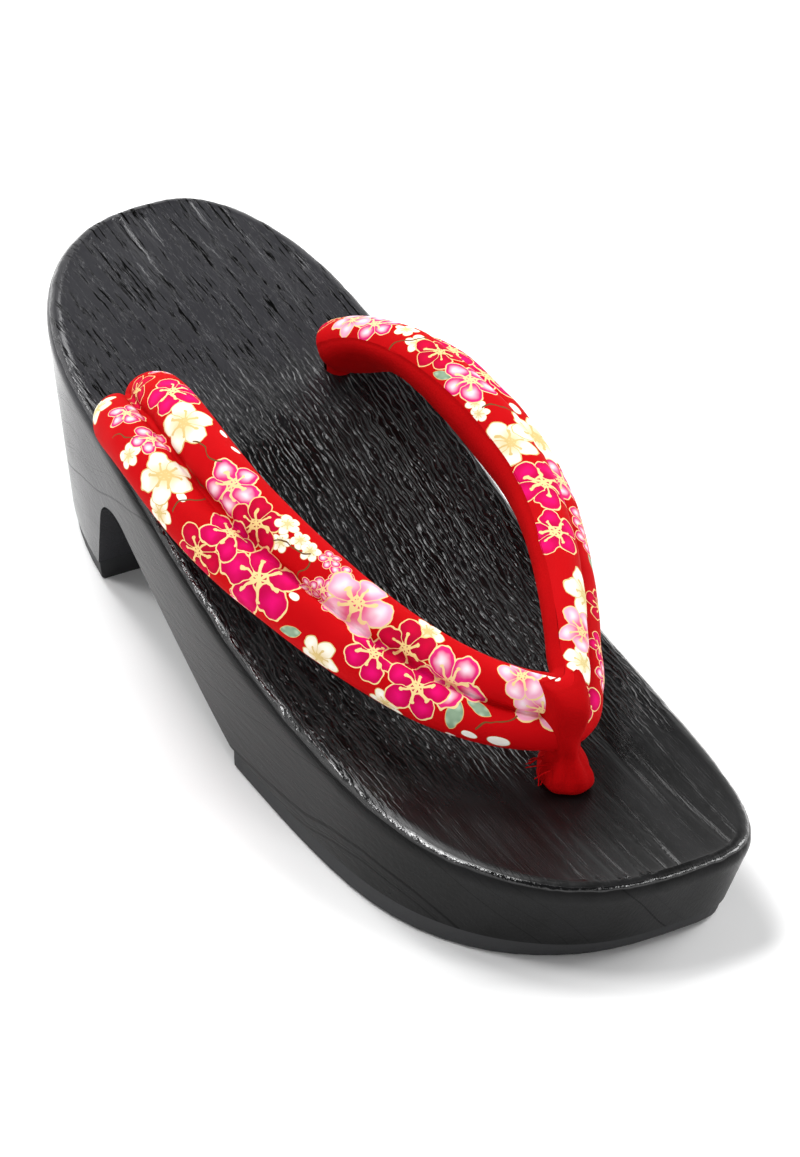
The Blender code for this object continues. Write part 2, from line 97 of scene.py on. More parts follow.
# share of the length, share of the toe undercut, share of the side undercut
UNDERCUT_ROWS = (
    (0.00, 1.00, 0.00),
    (0.04, 0.76, 0.00),
    (0.09, 0.40, 0.00),
    (0.15, 0.10, 0.00),
    (0.21, 0.00, 0.00),
    (0.32, 0.00, 0.05),
    (0.43, 0.00, 0.28),
    (0.60, 0.00, 0.70),
    (0.775, 0.00, 1.00),
    (0.92, 0.00, 0.84),
    (1.00, 0.00, 0.50),
)
SOLE_THICKNESS = 0.0049
STEP_STATION = 0.1055
ARCH_TOP_STATION = 0.1708
ARCH_TOP_HEIGHT = 0.0352
ARCH_CORNER_RADIUS = 0.0125
HEEL_FRONT_STATION = 0.1864
HEEL_FRONT_TOP_STATION = 0.1768
HEEL_FRONT_TOP_HEIGHT = 0.0232
LOOP_HOLE_SIDE = 0.0046
LOOP_HOLE_STATION = 0.0400
LOOP_HOLE_RADIUS = 0.0037
LOOP_HOLE_DEPTH = 0.0130
MEDIAL_HOLE_STATION = 0.1700
LATERAL_HOLE_STATION = 0.1685
MEDIAL_HOLE_SIDE = 0.0220
LATERAL_HOLE_SIDE = -0.0322
REAR_HOLE_RADIUS = 0.0034
REAR_HOLE_DEPTH = 0.0085

# How finely the block is divided, and how deep its brushed grain is cut
BLOCK_STATIONS = 200
BLOCK_COLUMNS = 84
BLOCK_WALL_STEPS = 22
BLOCK_EDGE_STEPS = 8
GROOVE_DEPTH = 0.00034
CRINKLE_DEPTH = 0.00016
RIM_DENT = 0.00028


def cubic(rows, share):
    """Read a table smoothly at a share, which may be a number or an array."""
    table = np.array(rows, dtype=float)
    xs = table[:, 0]
    ys = table[:, 1:]
    gaps = np.diff(xs)[:, None]
    slopes = np.diff(ys, axis=0) / gaps
    tangents = np.zeros_like(ys)
    tangents[0] = slopes[0]
    tangents[-1] = slopes[-1]
    tangents[1:-1] = (slopes[:-1] * gaps[1:] + slopes[1:] * gaps[:-1]) / (gaps[:-1] + gaps[1:])
    share = np.clip(np.atleast_1d(share), xs[0], xs[-1])
    cell = np.clip(np.searchsorted(xs, share, side="right") - 1, 0, len(xs) - 2)
    step = (xs[cell + 1] - xs[cell])[:, None]
    t = (share - xs[cell])[:, None] / step
    start = (1 + 2 * t) * (1 - t) ** 2 * ys[cell] + t * (1 - t) ** 2 * step * tangents[cell]
    stop = t * t * (3 - 2 * t) * ys[cell + 1] + t * t * (t - 1) * step * tangents[cell + 1]
    return start + stop


def rounding(run, length, power):
    """How full the outline is at a distance from its tip: 0 at the tip, 1 past it."""
    t = np.clip(run / length, 0.0, 1.0)
    return (1 - (1 - t) ** power) ** (1 / power)


def outline_side(station, side):
    """X of the block's edge on the medial (+1) or lateral (-1) side."""
    widths = cubic(PLAN_ROWS, station / BLOCK_LENGTH)
    if side > 0:
        toe = rounding(station, MEDIAL_TOE_ROUNDING, MEDIAL_TOE_POWER)
        reach = MEDIAL_REACH * widths[:, 0]
    else:
        toe = rounding(station, LATERAL_TOE_ROUNDING, LATERAL_TOE_POWER)
        reach = LATERAL_REACH * widths[:, 1]
    heel = rounding(BLOCK_LENGTH - station, HEEL_ROUNDING, HEEL_POWER)
    return TOE_TIP_SIDE * (1 - toe) + HEEL_TIP_SIDE * (1 - heel) + side * reach * toe * heel


def deck_height(station):
    """Height of the deck's rim over the floor."""
    return TOE_HEIGHT + (HEEL_HEIGHT - TOE_HEIGHT) * cubic(DECK_ROWS, station / BLOCK_LENGTH)[:, 0]


def make_mesh(name, verts, faces):
    """A smooth-shaded object whose faces all point outwards."""
    mesh = bpy.data.meshes.new(name)
    mesh.from_pydata([tuple(v) for v in verts], [], faces)
    bm = bmesh.new()
    bm.from_mesh(mesh)
    bmesh.ops.recalc_face_normals(bm, faces=bm.faces)
    bm.to_mesh(mesh)
    bm.free()
    obj = bpy.data.objects.new(name, mesh)
    bpy.context.scene.collection.objects.link(obj)
    mesh.shade_smooth()
    return obj


def ring_faces(count, size, closed=True):
    """Quads between a number of rings of equal size, laid one after another."""
    faces = []
    for level in range(count - 1):
        for i in range(size if closed else size - 1):
            j = (i + 1) % size
            faces.append((level * size + i, level * size + j, (level + 1) * size + j, (level + 1) * size + i))
    return faces


def brushed_grain(x, station):
    """Depth of the brushed grain under the deck's own surface, in metres."""
    wander = 2.2 * noise.noise((x * 20, station * 9, 3.1))
    line = noise.noise(((x * 1000 + wander) / 3.4, station * 11, 7.7))
    groove = max(0.0, 1 - abs(line) / 0.16) ** 1.5
    patch = min(max((noise.noise((x * 55, station * 16, 1.3)) + 0.35) / 0.5, 0.0), 1.0)
    middle = min(max((station - 0.040) / 0.035, 0.0), 1.0) * min(max((0.190 - station) / 0.03, 0.0), 1.0)
    crinkle = noise.noise((x * 760 + wander, station * 150, 5.0))
    return GROOVE_DEPTH * groove * (0.25 + 0.75 * patch) + CRINKLE_DEPTH * middle * crinkle


arc = np.arange(BLOCK_STATIONS + 1) / BLOCK_STATIONS
stations = BLOCK_LENGTH * (1 - np.cos(math.pi * (0.5 * arc + 0.25 * (1 - np.cos(math.pi * arc))))) / 2
plan = np.concatenate([
    np.stack([outline_side(stations, 1), stations], axis=1),
    np.stack([outline_side(stations[-2:0:-1], -1), stations[-2:0:-1]], axis=1),
])
ahead = np.roll(plan, -1, axis=0) - plan
behind = plan - np.roll(plan, 1, axis=0)
ahead /= np.linalg.norm(ahead, axis=1)[:, None]
behind /= np.linalg.norm(behind, axis=1)[:, None]
into = np.stack([-(ahead + behind)[:, 1], (ahead + behind)[:, 0]], axis=1)
into /= np.linalg.norm(into, axis=1)[:, None]
rim_height = deck_height(plan[:, 1])
lean_rows = np.maximum(cubic(UNDERCUT_ROWS, plan[:, 1] / BLOCK_LENGTH), 0.0)
lean_full = TOE_UNDERCUT * lean_rows[:, 0] + SIDE_UNDERCUT * lean_rows[:, 1]


def wall_ring(level, extra):
    """The wall's outline at a height for each point, pulled in by its lean and an extra."""
    lean = lean_full * (rim_height - level) / rim_height + extra
    return np.stack([
        plan[:, 0] + into[:, 0] * lean,
        plan[:, 1] + into[:, 1] * lean - BALL_STATION,
        level + 0 * lean,
    ], axis=1)


block_bottom = SOLE_THICKNESS + CLEARANCE
block_rings = []
for step in range(BLOCK_WALL_STEPS + 1):
    share = step / BLOCK_WALL_STEPS
    block_rings.append(wall_ring(block_bottom + (rim_height - EDGE_RADIUS - block_bottom) * share, 0.0))
for step in range(1, BLOCK_EDGE_STEPS + 1):
    angle = math.pi / 2 * step / BLOCK_EDGE_STEPS
    # small flats and dents left by hand along the rounded rim
    dents = np.array([
        noise.noise((p[0] * 130, p[1] * 130, 2.0 + 0.2 * step)) * 0.6
        + noise.noise((p[0] * 420, p[1] * 420, 9.0)) * 0.4
        for p in plan
    ]) * RIM_DENT * math.sin(2 * angle)
    drop = EDGE_RADIUS * (1 - math.sin(angle)) + np.abs(dents)
    tuck = EDGE_RADIUS * (1 - math.cos(angle)) + np.abs(dents)
    block_rings.append(wall_ring(rim_height - drop, tuck))
block_verts = [tuple(p) for ring in block_rings for p in ring]
ring_size = len(plan)
block_faces = ring_faces(len(block_rings), ring_size)
block_faces.append(tuple(range(ring_size - 1, -1, -1)))
rim_start = (len(block_rings) - 1) * ring_size
deck_rows = []
for i in range(1, BLOCK_STATIONS):
    medial = rim_start + i
    lateral = rim_start + ring_size - i
    a = np.array(block_verts[lateral])
    b = np.array(block_verts[medial])
    width = np.linalg.norm(b - a) / (MEDIAL_REACH + LATERAL_REACH)
    row = [lateral]
    for column in range(1, BLOCK_COLUMNS):
        share = column / BLOCK_COLUMNS
        point = a + (b - a) * share
        middle = 1 - (2 * share - 1) ** 2
        station = point[1] + BALL_STATION
        point[2] -= DISH_DEPTH * min(width * 1.15, 1.0) * middle
        point[2] -= brushed_grain(point[0], station) * min(middle * 6, 1.0)
        row.append(len(block_verts))
        block_verts.append(tuple(point))
    row.append(medial)
    deck_rows.append(row)
for lower, upper in zip(deck_rows, deck_rows[1:]):
    for column in range(BLOCK_COLUMNS):
        block_faces.append((lower[column], lower[column + 1], upper[column + 1], upper[column]))
for column in range(BLOCK_COLUMNS):
    block_faces.append((rim_start, deck_rows[0][column + 1], deck_rows[0][column]))
    block_faces.append((rim_start + BLOCK_STATIONS, deck_rows[-1][column], deck_rows[-1][column + 1]))
block = make_mesh("wooden_block", block_verts, block_faces)

# The arch's profile: a rising ceiling, a rounded corner and the heel's front face
arch_start = np.array([STEP_STATION + CLEARANCE, SOLE_THICKNESS])
arch_corner = np.array([ARCH_TOP_STATION, ARCH_TOP_HEIGHT])
heel_foot = np.array([HEEL_FRONT_STATION, 0.0])
heel_top = np.array([HEEL_FRONT_TOP_STATION, HEEL_FRONT_TOP_HEIGHT])
down = (heel_foot - heel_top) / np.linalg.norm(heel_foot - heel_top)
rise = (arch_corner - arch_start) / np.linalg.norm(arch_corner - arch_start)
meet = np.linalg.solve(np.array([rise, -down]).T, heel_foot - arch_start)
tip = arch_start + rise * meet[0]
half_corner = math.acos(float(np.dot(-rise, down))) / 2
middle = tip + (down - rise) / np.linalg.norm(down - rise) * ARCH_CORNER_RADIUS / math.sin(half_corner)
first = tip - rise * ARCH_CORNER_RADIUS / math.tan(half_corner) - middle
last = tip + down * ARCH_CORNER_RADIUS / math.tan(half_corner) - middle
turn_from = math.atan2(first[1], first[0])
turn_to = math.atan2(last[1], last[0])
profile = [(arch_start[0], -0.02), tuple(arch_start)]
for i in range(25):
    angle = turn_from + (turn_to - turn_from) * i / 24
    profile.append(tuple(middle + ARCH_CORNER_RADIUS * np.array([math.cos(angle), math.sin(angle)])))
profile.append(tuple(heel_foot + down * 0.02))
arch_verts = []
for x in (-0.1, 0.1):
    arch_verts += [(x, station - BALL_STATION, height) for station, height in profile]
arch_faces = ring_faces(2, len(profile))
arch_faces.append(tuple(range(len(profile) - 1, -1, -1)))
arch_faces.append(tuple(range(len(profile), 2 * len(profile))))
block_cutters = [make_mesh("arch_cutter", arch_verts, arch_faces)]
for name, x, station, radius, depth in (
    ("loop_hole", LOOP_HOLE_SIDE, LOOP_HOLE_STATION, LOOP_HOLE_RADIUS, LOOP_HOLE_DEPTH),
    ("medial_hole", MEDIAL_HOLE_SIDE, MEDIAL_HOLE_STATION, REAR_HOLE_RADIUS, REAR_HOLE_DEPTH),
    ("lateral_hole", LATERAL_HOLE_SIDE, LATERAL_HOLE_STATION, REAR_HOLE_RADIUS, REAR_HOLE_DEPTH),
):
    hole_verts = []
    top = deck_height(station)[0]
    for level in (top - depth, top + depth):
        for i in range(32):
            angle = 2 * math.pi * i / 32
            hole_verts.append((
                x + radius * math.cos(angle),
                station - BALL_STATION + radius * math.sin(angle),
                level,
            ))
    hole_faces = ring_faces(2, 32)
    hole_faces.append(tuple(range(31, -1, -1)))
    hole_faces.append(tuple(range(32, 64)))
    block_cutters.append(make_mesh(name, hole_verts, hole_faces))
for cutter in block_cutters:
    boolean = block.modifiers.new(cutter.name, "BOOLEAN")
    boolean.operation = "DIFFERENCE"
    boolean.solver = "EXACT"
    boolean.object = cutter
bpy.context.view_layer.update()
carved = bpy.data.meshes.new_from_object(block.evaluated_get(bpy.context.evaluated_depsgraph_get()))
block.modifiers.clear()
block.data = carved
for cutter in block_cutters:
    bpy.data.objects.remove(cutter, do_unlink=True)
block.data.shade_smooth()
block.data.set_sharp_from_angle(angle=math.radians(42))


def srgb(code):
    """Linear colour of an sRGB hex code."""
    parts = [int(code[i:i + 2], 16) / 255 for i in (1, 3, 5)]
    return tuple(c / 12.92 if c <= 0.04045 else ((c + 0.055) / 1.055) ** 2.4 for c in parts) + (1.0,)


def set_inputs(tree, node, inputs):
    """Link or set a node's inputs by name or number. A node stands for its first output in use."""
    for key, value in inputs.items():
        if isinstance(value, bpy.types.Node):
            value = next(socket for socket in value.outputs if socket.enabled)
        if isinstance(value, bpy.types.NodeSocket):
            tree.links.new(value, node.inputs[key])
        else:
            node.inputs[key].default_value = value


def add_node(tree, kind, inputs=None, **settings):
    """Add a node with its settings and its links."""
    node = tree.nodes.new(kind)
    for key, value in settings.items():
        setattr(node, key, value)
    set_inputs(tree, node, inputs or {})
    return node


def new_finish(name):
    """An empty material, its node tree and its surface shader."""
    material = bpy.data.materials.new(name)
    material.use_nodes = True
    tree = material.node_tree
    return material, tree, tree.nodes["Principled BSDF"]


def wear(obj, material):
    """Give an object one material."""
    obj.data.materials.clear()
    obj.data.materials.append(material)


# Burnt and brushed paulownia under satin black lacquer: nearly black, with a broad
# sheen that breaks into bright hairs where the brushed grain turns to the light.
# Sizes of its marks in millimetres, across the grain, along it and upwards.
HAIR_SIZE = (0.36, 9.0, 1.1)
PORE_SIZE = (0.8, 15.0, 3.0)
PATCH_SIZE = (9.0, 40.0, 14.0)
WRINKLE_STRETCH = (1.0, 0.30, 0.30)
GROWTH_LINE_GAP = 3.3
GROWTH_LINE_FALL = (0.74, 0.10, 0.66)
RELIEF_DEPTH = 0.00022
lacquer, tree, shader = new_finish("brushed_black_lacquered_paulownia")
place = add_node(tree, "ShaderNodeTexCoord")
mm = add_node(
    tree, "ShaderNodeVectorMath", {0: place.outputs["Object"], 1: (1000, 1000, 1000)}, operation="MULTIPLY")
way = add_node(tree, "ShaderNodeSeparateXYZ", {0: mm})
facing = add_node(tree, "ShaderNodeSeparateXYZ", {0: place.outputs["Normal"]})
on_deck = add_node(
    tree, "ShaderNodeMapRange", {"Value": facing.outputs["Z"], "From Min": 0.55, "From Max": 0.88})
off_deck = add_node(tree, "ShaderNodeMath", {0: 1.0, 1: on_deck}, operation="SUBTRACT")
# the rounded rim lies between the two
rim_here = add_node(tree, "ShaderNodeMath", {0: on_deck, 1: off_deck}, operation="MULTIPLY")
# where along the deck the wrinkled part lies, and where the smooth heel begins
ball_side = add_node(
    tree, "ShaderNodeMapRange", {"Value": way.outputs["Y"], "From Min": -12.0, "From Max": 22.0})
heel_side = add_node(
    tree, "ShaderNodeMapRange", {"Value": way.outputs["Y"], "From Min": 98.0, "From Max": 128.0})
not_heel = add_node(tree, "ShaderNodeMath", {0: 1.0, 1: heel_side}, operation="SUBTRACT")
wrinkled = add_node(tree, "ShaderNodeMath", {0: ball_side, 1: not_heel}, operation="MULTIPLY")

# wrinkles about 1.3 mm apart, from waves across the grain
wrinkle_place = add_node(tree, "ShaderNodeVectorMath", {0: mm, 1: WRINKLE_STRETCH}, operation="MULTIPLY")
wrinkle_field = add_node(
    tree, "ShaderNodeTexWave",
    {"Vector": wrinkle_place, "Scale": 0.24, "Distortion": 8.0, "Detail": 2.0, "Detail Scale": 1.9,
     "Detail Roughness": 0.55}, wave_type="BANDS", bands_direction="X")
wrinkle = add_node(
    tree, "ShaderNodeMapRange", {"Value": wrinkle_field.outputs["Fac"], "From Min": 0.25, "From Max": 1.0})
hair_place, pore_place, patch_place = [
    add_node(tree, "ShaderNodeVectorMath", {0: mm, 1: tuple(1 / side for side in size)}, operation="MULTIPLY")
    for size in (HAIR_SIZE, PORE_SIZE, PATCH_SIZE)]
hairs = add_node(
    tree, "ShaderNodeTexNoise", {"Vector": hair_place, "Scale": 1.0, "Detail": 2.0, "Roughness": 0.6})
pores = add_node(
    tree, "ShaderNodeTexNoise",
    {"Vector": pore_place, "Scale": 1.0, "Detail": 3.0, "Roughness": 0.65, "Distortion": 0.2})
pore_deep = add_node(tree, "ShaderNodeMapRange", {"Value": pores, "From Min": 0.54, "From Max": 0.62})
patches = add_node(tree, "ShaderNodeTexNoise", {"Vector": patch_place, "Scale": 1.0, "Detail": 2.0})
patchy = add_node(tree, "ShaderNodeMapRange", {"Value": patches, "From Min": 0.38, "From Max": 0.62})

# faint growth lines, which fall forward and outward on the walls
wall_way = add_node(tree, "ShaderNodeVectorMath", {0: mm, 1: GROWTH_LINE_FALL}, operation="DOT_PRODUCT")
sway = add_node(tree, "ShaderNodeTexNoise", {"Vector": mm, "Scale": 0.021, "Detail": 2.0})
swayed = add_node(
    tree, "ShaderNodeMath", {0: sway, 1: 6.0, 2: wall_way.outputs["Value"]}, operation="MULTIPLY_ADD")
line_place = add_node(tree, "ShaderNodeMath", {0: swayed, 1: 1 / GROWTH_LINE_GAP}, operation="MULTIPLY")
line_noise = add_node(
    tree, "ShaderNodeTexNoise", {"W": line_place, "Scale": 1.0, "Detail": 1.5}, noise_dimensions="1D")
line_off = add_node(tree, "ShaderNodeMath", {0: line_noise, 1: 0.5}, operation="SUBTRACT")
line_near = add_node(tree, "ShaderNodeMath", {0: line_off}, operation="ABSOLUTE")
line_dark = add_node(tree, "ShaderNodeMapRange", {
    "Value": line_near, "From Min": 0.0, "From Max": 0.006, "To Min": 0.30, "To Max": 0.0})
wall_lines = add_node(tree, "ShaderNodeMath", {0: line_dark, 1: off_deck}, operation="MULTIPLY")

# relief, as a height in shares of its depth
wrinkle_high = add_node(tree, "ShaderNodeMath", {0: wrinkle, 1: wrinkled}, operation="MULTIPLY")
wrinkle_share = add_node(
    tree, "ShaderNodeMapRange", {"Value": patches, "From Min": 0.3, "From Max": 0.6, "To Min": 0.35})
wrinkle_uneven = add_node(tree, "ShaderNodeMath", {0: wrinkle_high, 1: wrinkle_share}, operation="MULTIPLY")
wrinkle_here = add_node(tree, "ShaderNodeMath", {0: wrinkle_uneven, 1: on_deck}, operation="MULTIPLY")
hair_high = add_node(tree, "ShaderNodeMath", {0: hairs, 1: 0.30}, operation="MULTIPLY")
raised = add_node(tree, "ShaderNodeMath", {0: wrinkle_here, 1: 1.35, 2: hair_high}, operation="MULTIPLY_ADD")
pore_heel = add_node(tree, "ShaderNodeMath", {0: heel_side, 1: 0.95, 2: 0.05}, operation="MULTIPLY_ADD")
pore_here = add_node(tree, "ShaderNodeMath", {0: pore_deep, 1: pore_heel}, operation="MULTIPLY")
pore_deck = add_node(tree, "ShaderNodeMath", {0: pore_here, 1: on_deck}, operation="MULTIPLY")
pored = add_node(tree, "ShaderNodeMath", {0: pore_deck, 1: -0.55, 2: raised}, operation="MULTIPLY_ADD")
lined = add_node(tree, "ShaderNodeMath", {0: wall_lines, 1: -0.25, 2: pored}, operation="MULTIPLY_ADD")
# along the rim the lacquer has run over the ends of the grain and chipped
ragged = add_node(tree, "ShaderNodeTexNoise", {
    "Vector": mm, "Scale": 0.6, "Detail": 3.0, "Roughness": 0.6, "Distortion": 1.2})
ragged_rim = add_node(tree, "ShaderNodeMath", {0: rim_here, 1: ragged}, operation="MULTIPLY")
height = add_node(tree, "ShaderNodeMath", {0: ragged_rim, 1: 2.8, 2: lined}, operation="MULTIPLY_ADD")
relief = add_node(tree, "ShaderNodeBump", {"Strength": 1.0, "Distance": RELIEF_DEPTH, "Height": height})

# colour: black, with a lighter grey towards the heel as painted sheen, and darkest in pores and lines
marks = add_node(tree, "ShaderNodeMath", {0: pore_deck, 1: wall_lines}, operation="MAXIMUM")
black = add_node(
    tree, "ShaderNodeMix", {"Factor": patchy, 6: srgb("#090909"), 7: srgb("#101011")}, data_type="RGBA")
# painted sheen: the base colour turns lighter grey towards the heel
heel_painted_sheen = add_node(tree, "ShaderNodeMix", {"Factor": heel_side, 6: black, 7: srgb("#2c2c2f")}, data_type="RGBA")
marked = add_node(tree, "ShaderNodeMix", {"Factor": marks, 6: heel_painted_sheen, 7: srgb("#040404")}, data_type="RGBA")
# gloss: the forefoot is rubbed to a satin, the rest shines, the rim most of all
gloss_deck = add_node(
    tree, "ShaderNodeMapRange",
    {"Value": patches, "From Min": 0.3, "From Max": 0.7, "To Min": 0.13, "To Max": 0.24})
toe_side = add_node(tree, "ShaderNodeMapRange", {
    "Value": way.outputs["Y"], "From Min": -26.0, "From Max": 8.0, "To Min": 0.15, "To Max": 0.0})
gloss_toe = add_node(tree, "ShaderNodeMath", {0: gloss_deck, 1: toe_side}, operation="ADD")
gloss = add_node(tree, "ShaderNodeMath", {0: marks, 1: 0.25, 2: gloss_toe}, operation="MULTIPLY_ADD")
rim_full = add_node(tree, "ShaderNodeMapRange", {"Value": rim_here, "From Min": 0.0, "From Max": 0.18})
gloss_rim = add_node(tree, "ShaderNodeMix", {"Factor": rim_full, 2: gloss, 3: 0.10})
shine = add_node(tree, "ShaderNodeMath", {0: marks, 1: -0.24, 2: 0.25}, operation="MULTIPLY_ADD")
shine_wall = add_node(tree, "ShaderNodeMath", {0: off_deck, 1: -0.09, 2: shine}, operation="MULTIPLY_ADD")
shine_rim = add_node(tree, "ShaderNodeMath", {0: rim_here, 1: 4.0, 2: shine_wall}, operation="MULTIPLY_ADD")
set_inputs(tree, shader, {
    "Base Color": marked, "Roughness": gloss_rim, "Normal": relief, "IOR": 1.5,
    "Specular IOR Level": shine_rim})
wear(block, lacquer)
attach(block, "root")
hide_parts("deck_block")

# The soles: two sheets of black rubber, cut to the outline and glued under the
# forefoot and the heel. Their solids have the right shape and stay.
rubber, tree, shader = new_finish("moulded_black_rubber")
# matt black with a faint mottle from the mould and a fine grit of about 0.25 mm
place = add_node(tree, "ShaderNodeTexCoord")
grit = add_node(
    tree, "ShaderNodeTexNoise", {"Vector": place.outputs["Object"], "Scale": 4000.0, "Detail": 2.0})
mottle = add_node(
    tree, "ShaderNodeTexNoise", {"Vector": place.outputs["Object"], "Scale": 180.0, "Detail": 3.0})
tone = add_node(
    tree, "ShaderNodeMix", {"Factor": mottle, 6: srgb("#141415"), 7: srgb("#26272a")}, data_type="RGBA")
dull = add_node(tree, "ShaderNodeMapRange", {"Value": mottle, "To Min": 0.55, "To Max": 0.75})
texture = add_node(tree, "ShaderNodeBump", {"Strength": 0.6, "Distance": 0.00006, "Height": grit})
set_inputs(tree, shader, {"Base Color": tone, "Roughness": dull, "Normal": texture, "IOR": 1.52})
for name in ("forefoot_sole", "heel_sole"):
    wear(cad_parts[name], rubber)

# The strap's printed face: red cotton crepe printed with plum and cherry blossoms
# in pink, cream and gold, sewn down its middle so that the wadding makes two rolls.
BAND_FRONT_STATION = 0.0428
ROLL_RADIUS = 0.0061
CORD_RADIUS = 0.0028
BAND_RISE = 0.0238
LINING_SHARE = 0.90
SEAM_DROP = 0.12
BAND_STEP = 0.0009
ROLL_POINTS = 26
PUCKER_DEPTH = 0.00055

# run, reach, rise, tilt in degrees, roll, half spacing of the rolls as a share of the roll
MEDIAL_ROWS = (
    (0.017, 0.255, 0.640, 71, 0.74, 0.90),
    (0.062, 0.460, 0.680, 65, 0.79, 0.90),
    (0.138, 0.735, 0.790, 66, 0.86, 0.88),
    (0.228, 1.035, 0.885, 65, 0.91, 0.88),
    (0.324, 1.310, 0.960, 61, 0.95, 0.88),
    (0.421, 1.510, 1.000, 55, 0.97, 0.88),
    (0.524, 1.580, 1.010, 48, 0.98, 0.88),
    (0.625, 1.560, 0.975, 43, 0.98, 0.88),
    (0.718, 1.495, 0.900, 39, 0.97, 0.88),
    (0.804, 1.400, 0.785, 36, 0.95, 0.88),
    (0.868, 1.300, 0.645, 34, 0.93, 0.88),
    (0.918, 1.210, 0.500, 32, 0.92, 0.87),
    (0.956, 1.120, 0.375, 30, 0.90, 0.84),
    (0.984, 1.040, 0.270, 27, 0.83, 0.70),
    (0.998, 1.003, 0.160, 22, 0.66, 0.36),
    (0.9995, 1.001, 0.015, 18, 0.46, 0.06),
)
LATERAL_ROWS = (
    (0.017, 0.130, 0.630, 70, 0.74, 0.90),
    (0.065, 0.335, 0.650, 54, 0.78, 0.90),
    (0.138, 0.536, 0.690, 43, 0.85, 0.86),
    (0.228, 0.717, 0.780, 37, 0.91, 0.82),
    (0.324, 0.870, 0.870, 34, 0.95, 0.82),
    (0.414, 0.984, 0.930, 34, 0.98, 0.84),
    (0.498, 1.074, 0.950, 35, 1.00, 0.88),
    (0.584, 1.138, 0.940, 34, 1.00, 0.91),
    (0.672, 1.164, 0.905, 32, 1.00, 0.92),
    (0.769, 1.156, 0.820, 30, 1.00, 0.92),
    (0.853, 1.119, 0.670, 29, 1.00, 0.91),
    (0.912, 1.078, 0.515, 28, 1.00, 0.88),
    (0.954, 1.040, 0.385, 27, 0.97, 0.84),
    (0.984, 1.012, 0.275, 24, 0.87, 0.70),
    (0.998, 1.002, 0.165, 18, 0.66, 0.36),
    (0.9995, 1.001, 0.015, 16, 0.46, 0.06),
)
TURN_ROW = (0.0, 0.0, 0.630, 80, 0.74, 0.90)

band_keys = []
for side, row in [(-1, r) for r in reversed(LATERAL_ROWS)] + [(0, TURN_ROW)] + [(1, r) for r in MEDIAL_ROWS]:
    run, reach, rise_share, tilt, roll, spacing = row
    hole = MEDIAL_HOLE_SIDE if side > 0 else LATERAL_HOLE_SIDE
    rear = MEDIAL_HOLE_STATION if side > 0 else LATERAL_HOLE_STATION
    station = BAND_FRONT_STATION + run * (rear - BAND_FRONT_STATION)
    band_keys.append((
        LOOP_HOLE_SIDE + reach * abs(hole - LOOP_HOLE_SIDE) * side,
        station - BALL_STATION,
        deck_height(station)[0] + rise_share * BAND_RISE,
        math.radians(tilt),
        roll * ROLL_RADIUS,
        spacing,
    ))
for end, hole, station in (
    (0, LATERAL_HOLE_SIDE, LATERAL_HOLE_STATION),
    (-1, MEDIAL_HOLE_SIDE, MEDIAL_HOLE_STATION),
):
    depth = deck_height(station)[0] - 0.004
    cord_tip = (hole, station - BALL_STATION, depth, band_keys[end][3], CORD_RADIUS, 0.06)
    band_keys.insert(0 if end == 0 else len(band_keys), cord_tip)
band_keys = np.array(band_keys)
band_gaps = np.linalg.norm(np.diff(band_keys[:, :3], axis=0), axis=1)
band_run = np.concatenate([[0.0], np.cumsum(band_gaps)])
band_table = np.column_stack([band_run, band_keys])
band_count = int(round(band_run[-1] / BAND_STEP)) + 1
band_places = np.linspace(0, band_run[-1], band_count)
band_samples = cubic(band_table, band_places)
band_along = cubic(band_table, band_places + 0.0004)[:, :3] - cubic(band_table, band_places - 0.0004)[:, :3]
band_along /= np.linalg.norm(band_along, axis=1)[:, None]
turn_place = band_run[len(LATERAL_ROWS) + 1]

band_frames = []
level_before = None
for sample, along in zip(band_samples, band_along):
    # level direction to the outside of the V, square to the path, kept steady at the ends
    level = np.array([along[1], -along[0], 0.0])
    flat = np.linalg.norm(level)
    if level_before is not None and flat < 0.35:
        level = level_before - along * np.dot(level_before, along)
        flat = np.linalg.norm(level)
    level = level / flat
    level_before = level
    up = np.cross(level, along)
    up *= 1 if up[2] > -0.2 else -1
    tilt = sample[3]
    across = math.cos(tilt) * level - math.sin(tilt) * up
    outward = math.cos(tilt) * up + math.sin(tilt) * level
    band_frames.append((sample[:3], across, outward, sample[4], sample[5]))


def face_section(roll, spacing, pucker, lap):
    """Printed half of the band, from the inner edge over two rolls to the outer edge.

    Each point is (across, out, distance over the cloth from the groove)."""
    half = spacing * roll
    crease = math.acos(min(half / roll, 1.0))
    sides = []
    for low in (-math.asin(SEAM_DROP), -math.asin(SEAM_DROP) + lap):
        rows = [(0.0, roll * math.sin(crease) - 0.0006)]
        arc = [0.0]
        for i in range(1, ROLL_POINTS + 1):
            # closer together by the groove, where the cloth is drawn down to the stitches
            t = (i / ROLL_POINTS) ** 1.25
            angle = (math.pi - crease) + (low - (math.pi - crease)) * t
            draw = math.exp(-((i / ROLL_POINTS) / 0.12) ** 2)
            radius = roll * (1 - 0.10 * draw) + pucker * math.exp(-((i / ROLL_POINTS - 0.16) / 0.14) ** 2)
            rows.append((half + radius * math.cos(angle), radius * math.sin(angle)))
            arc.append(arc[-1] + math.dist(rows[-2], rows[-1]))
        sides.append([(a, b, over) for (a, b), over in zip(rows, arc)])
    outer, inner = sides
    return [(-a, b, -over) for a, b, over in inner[:0:-1]] + outer


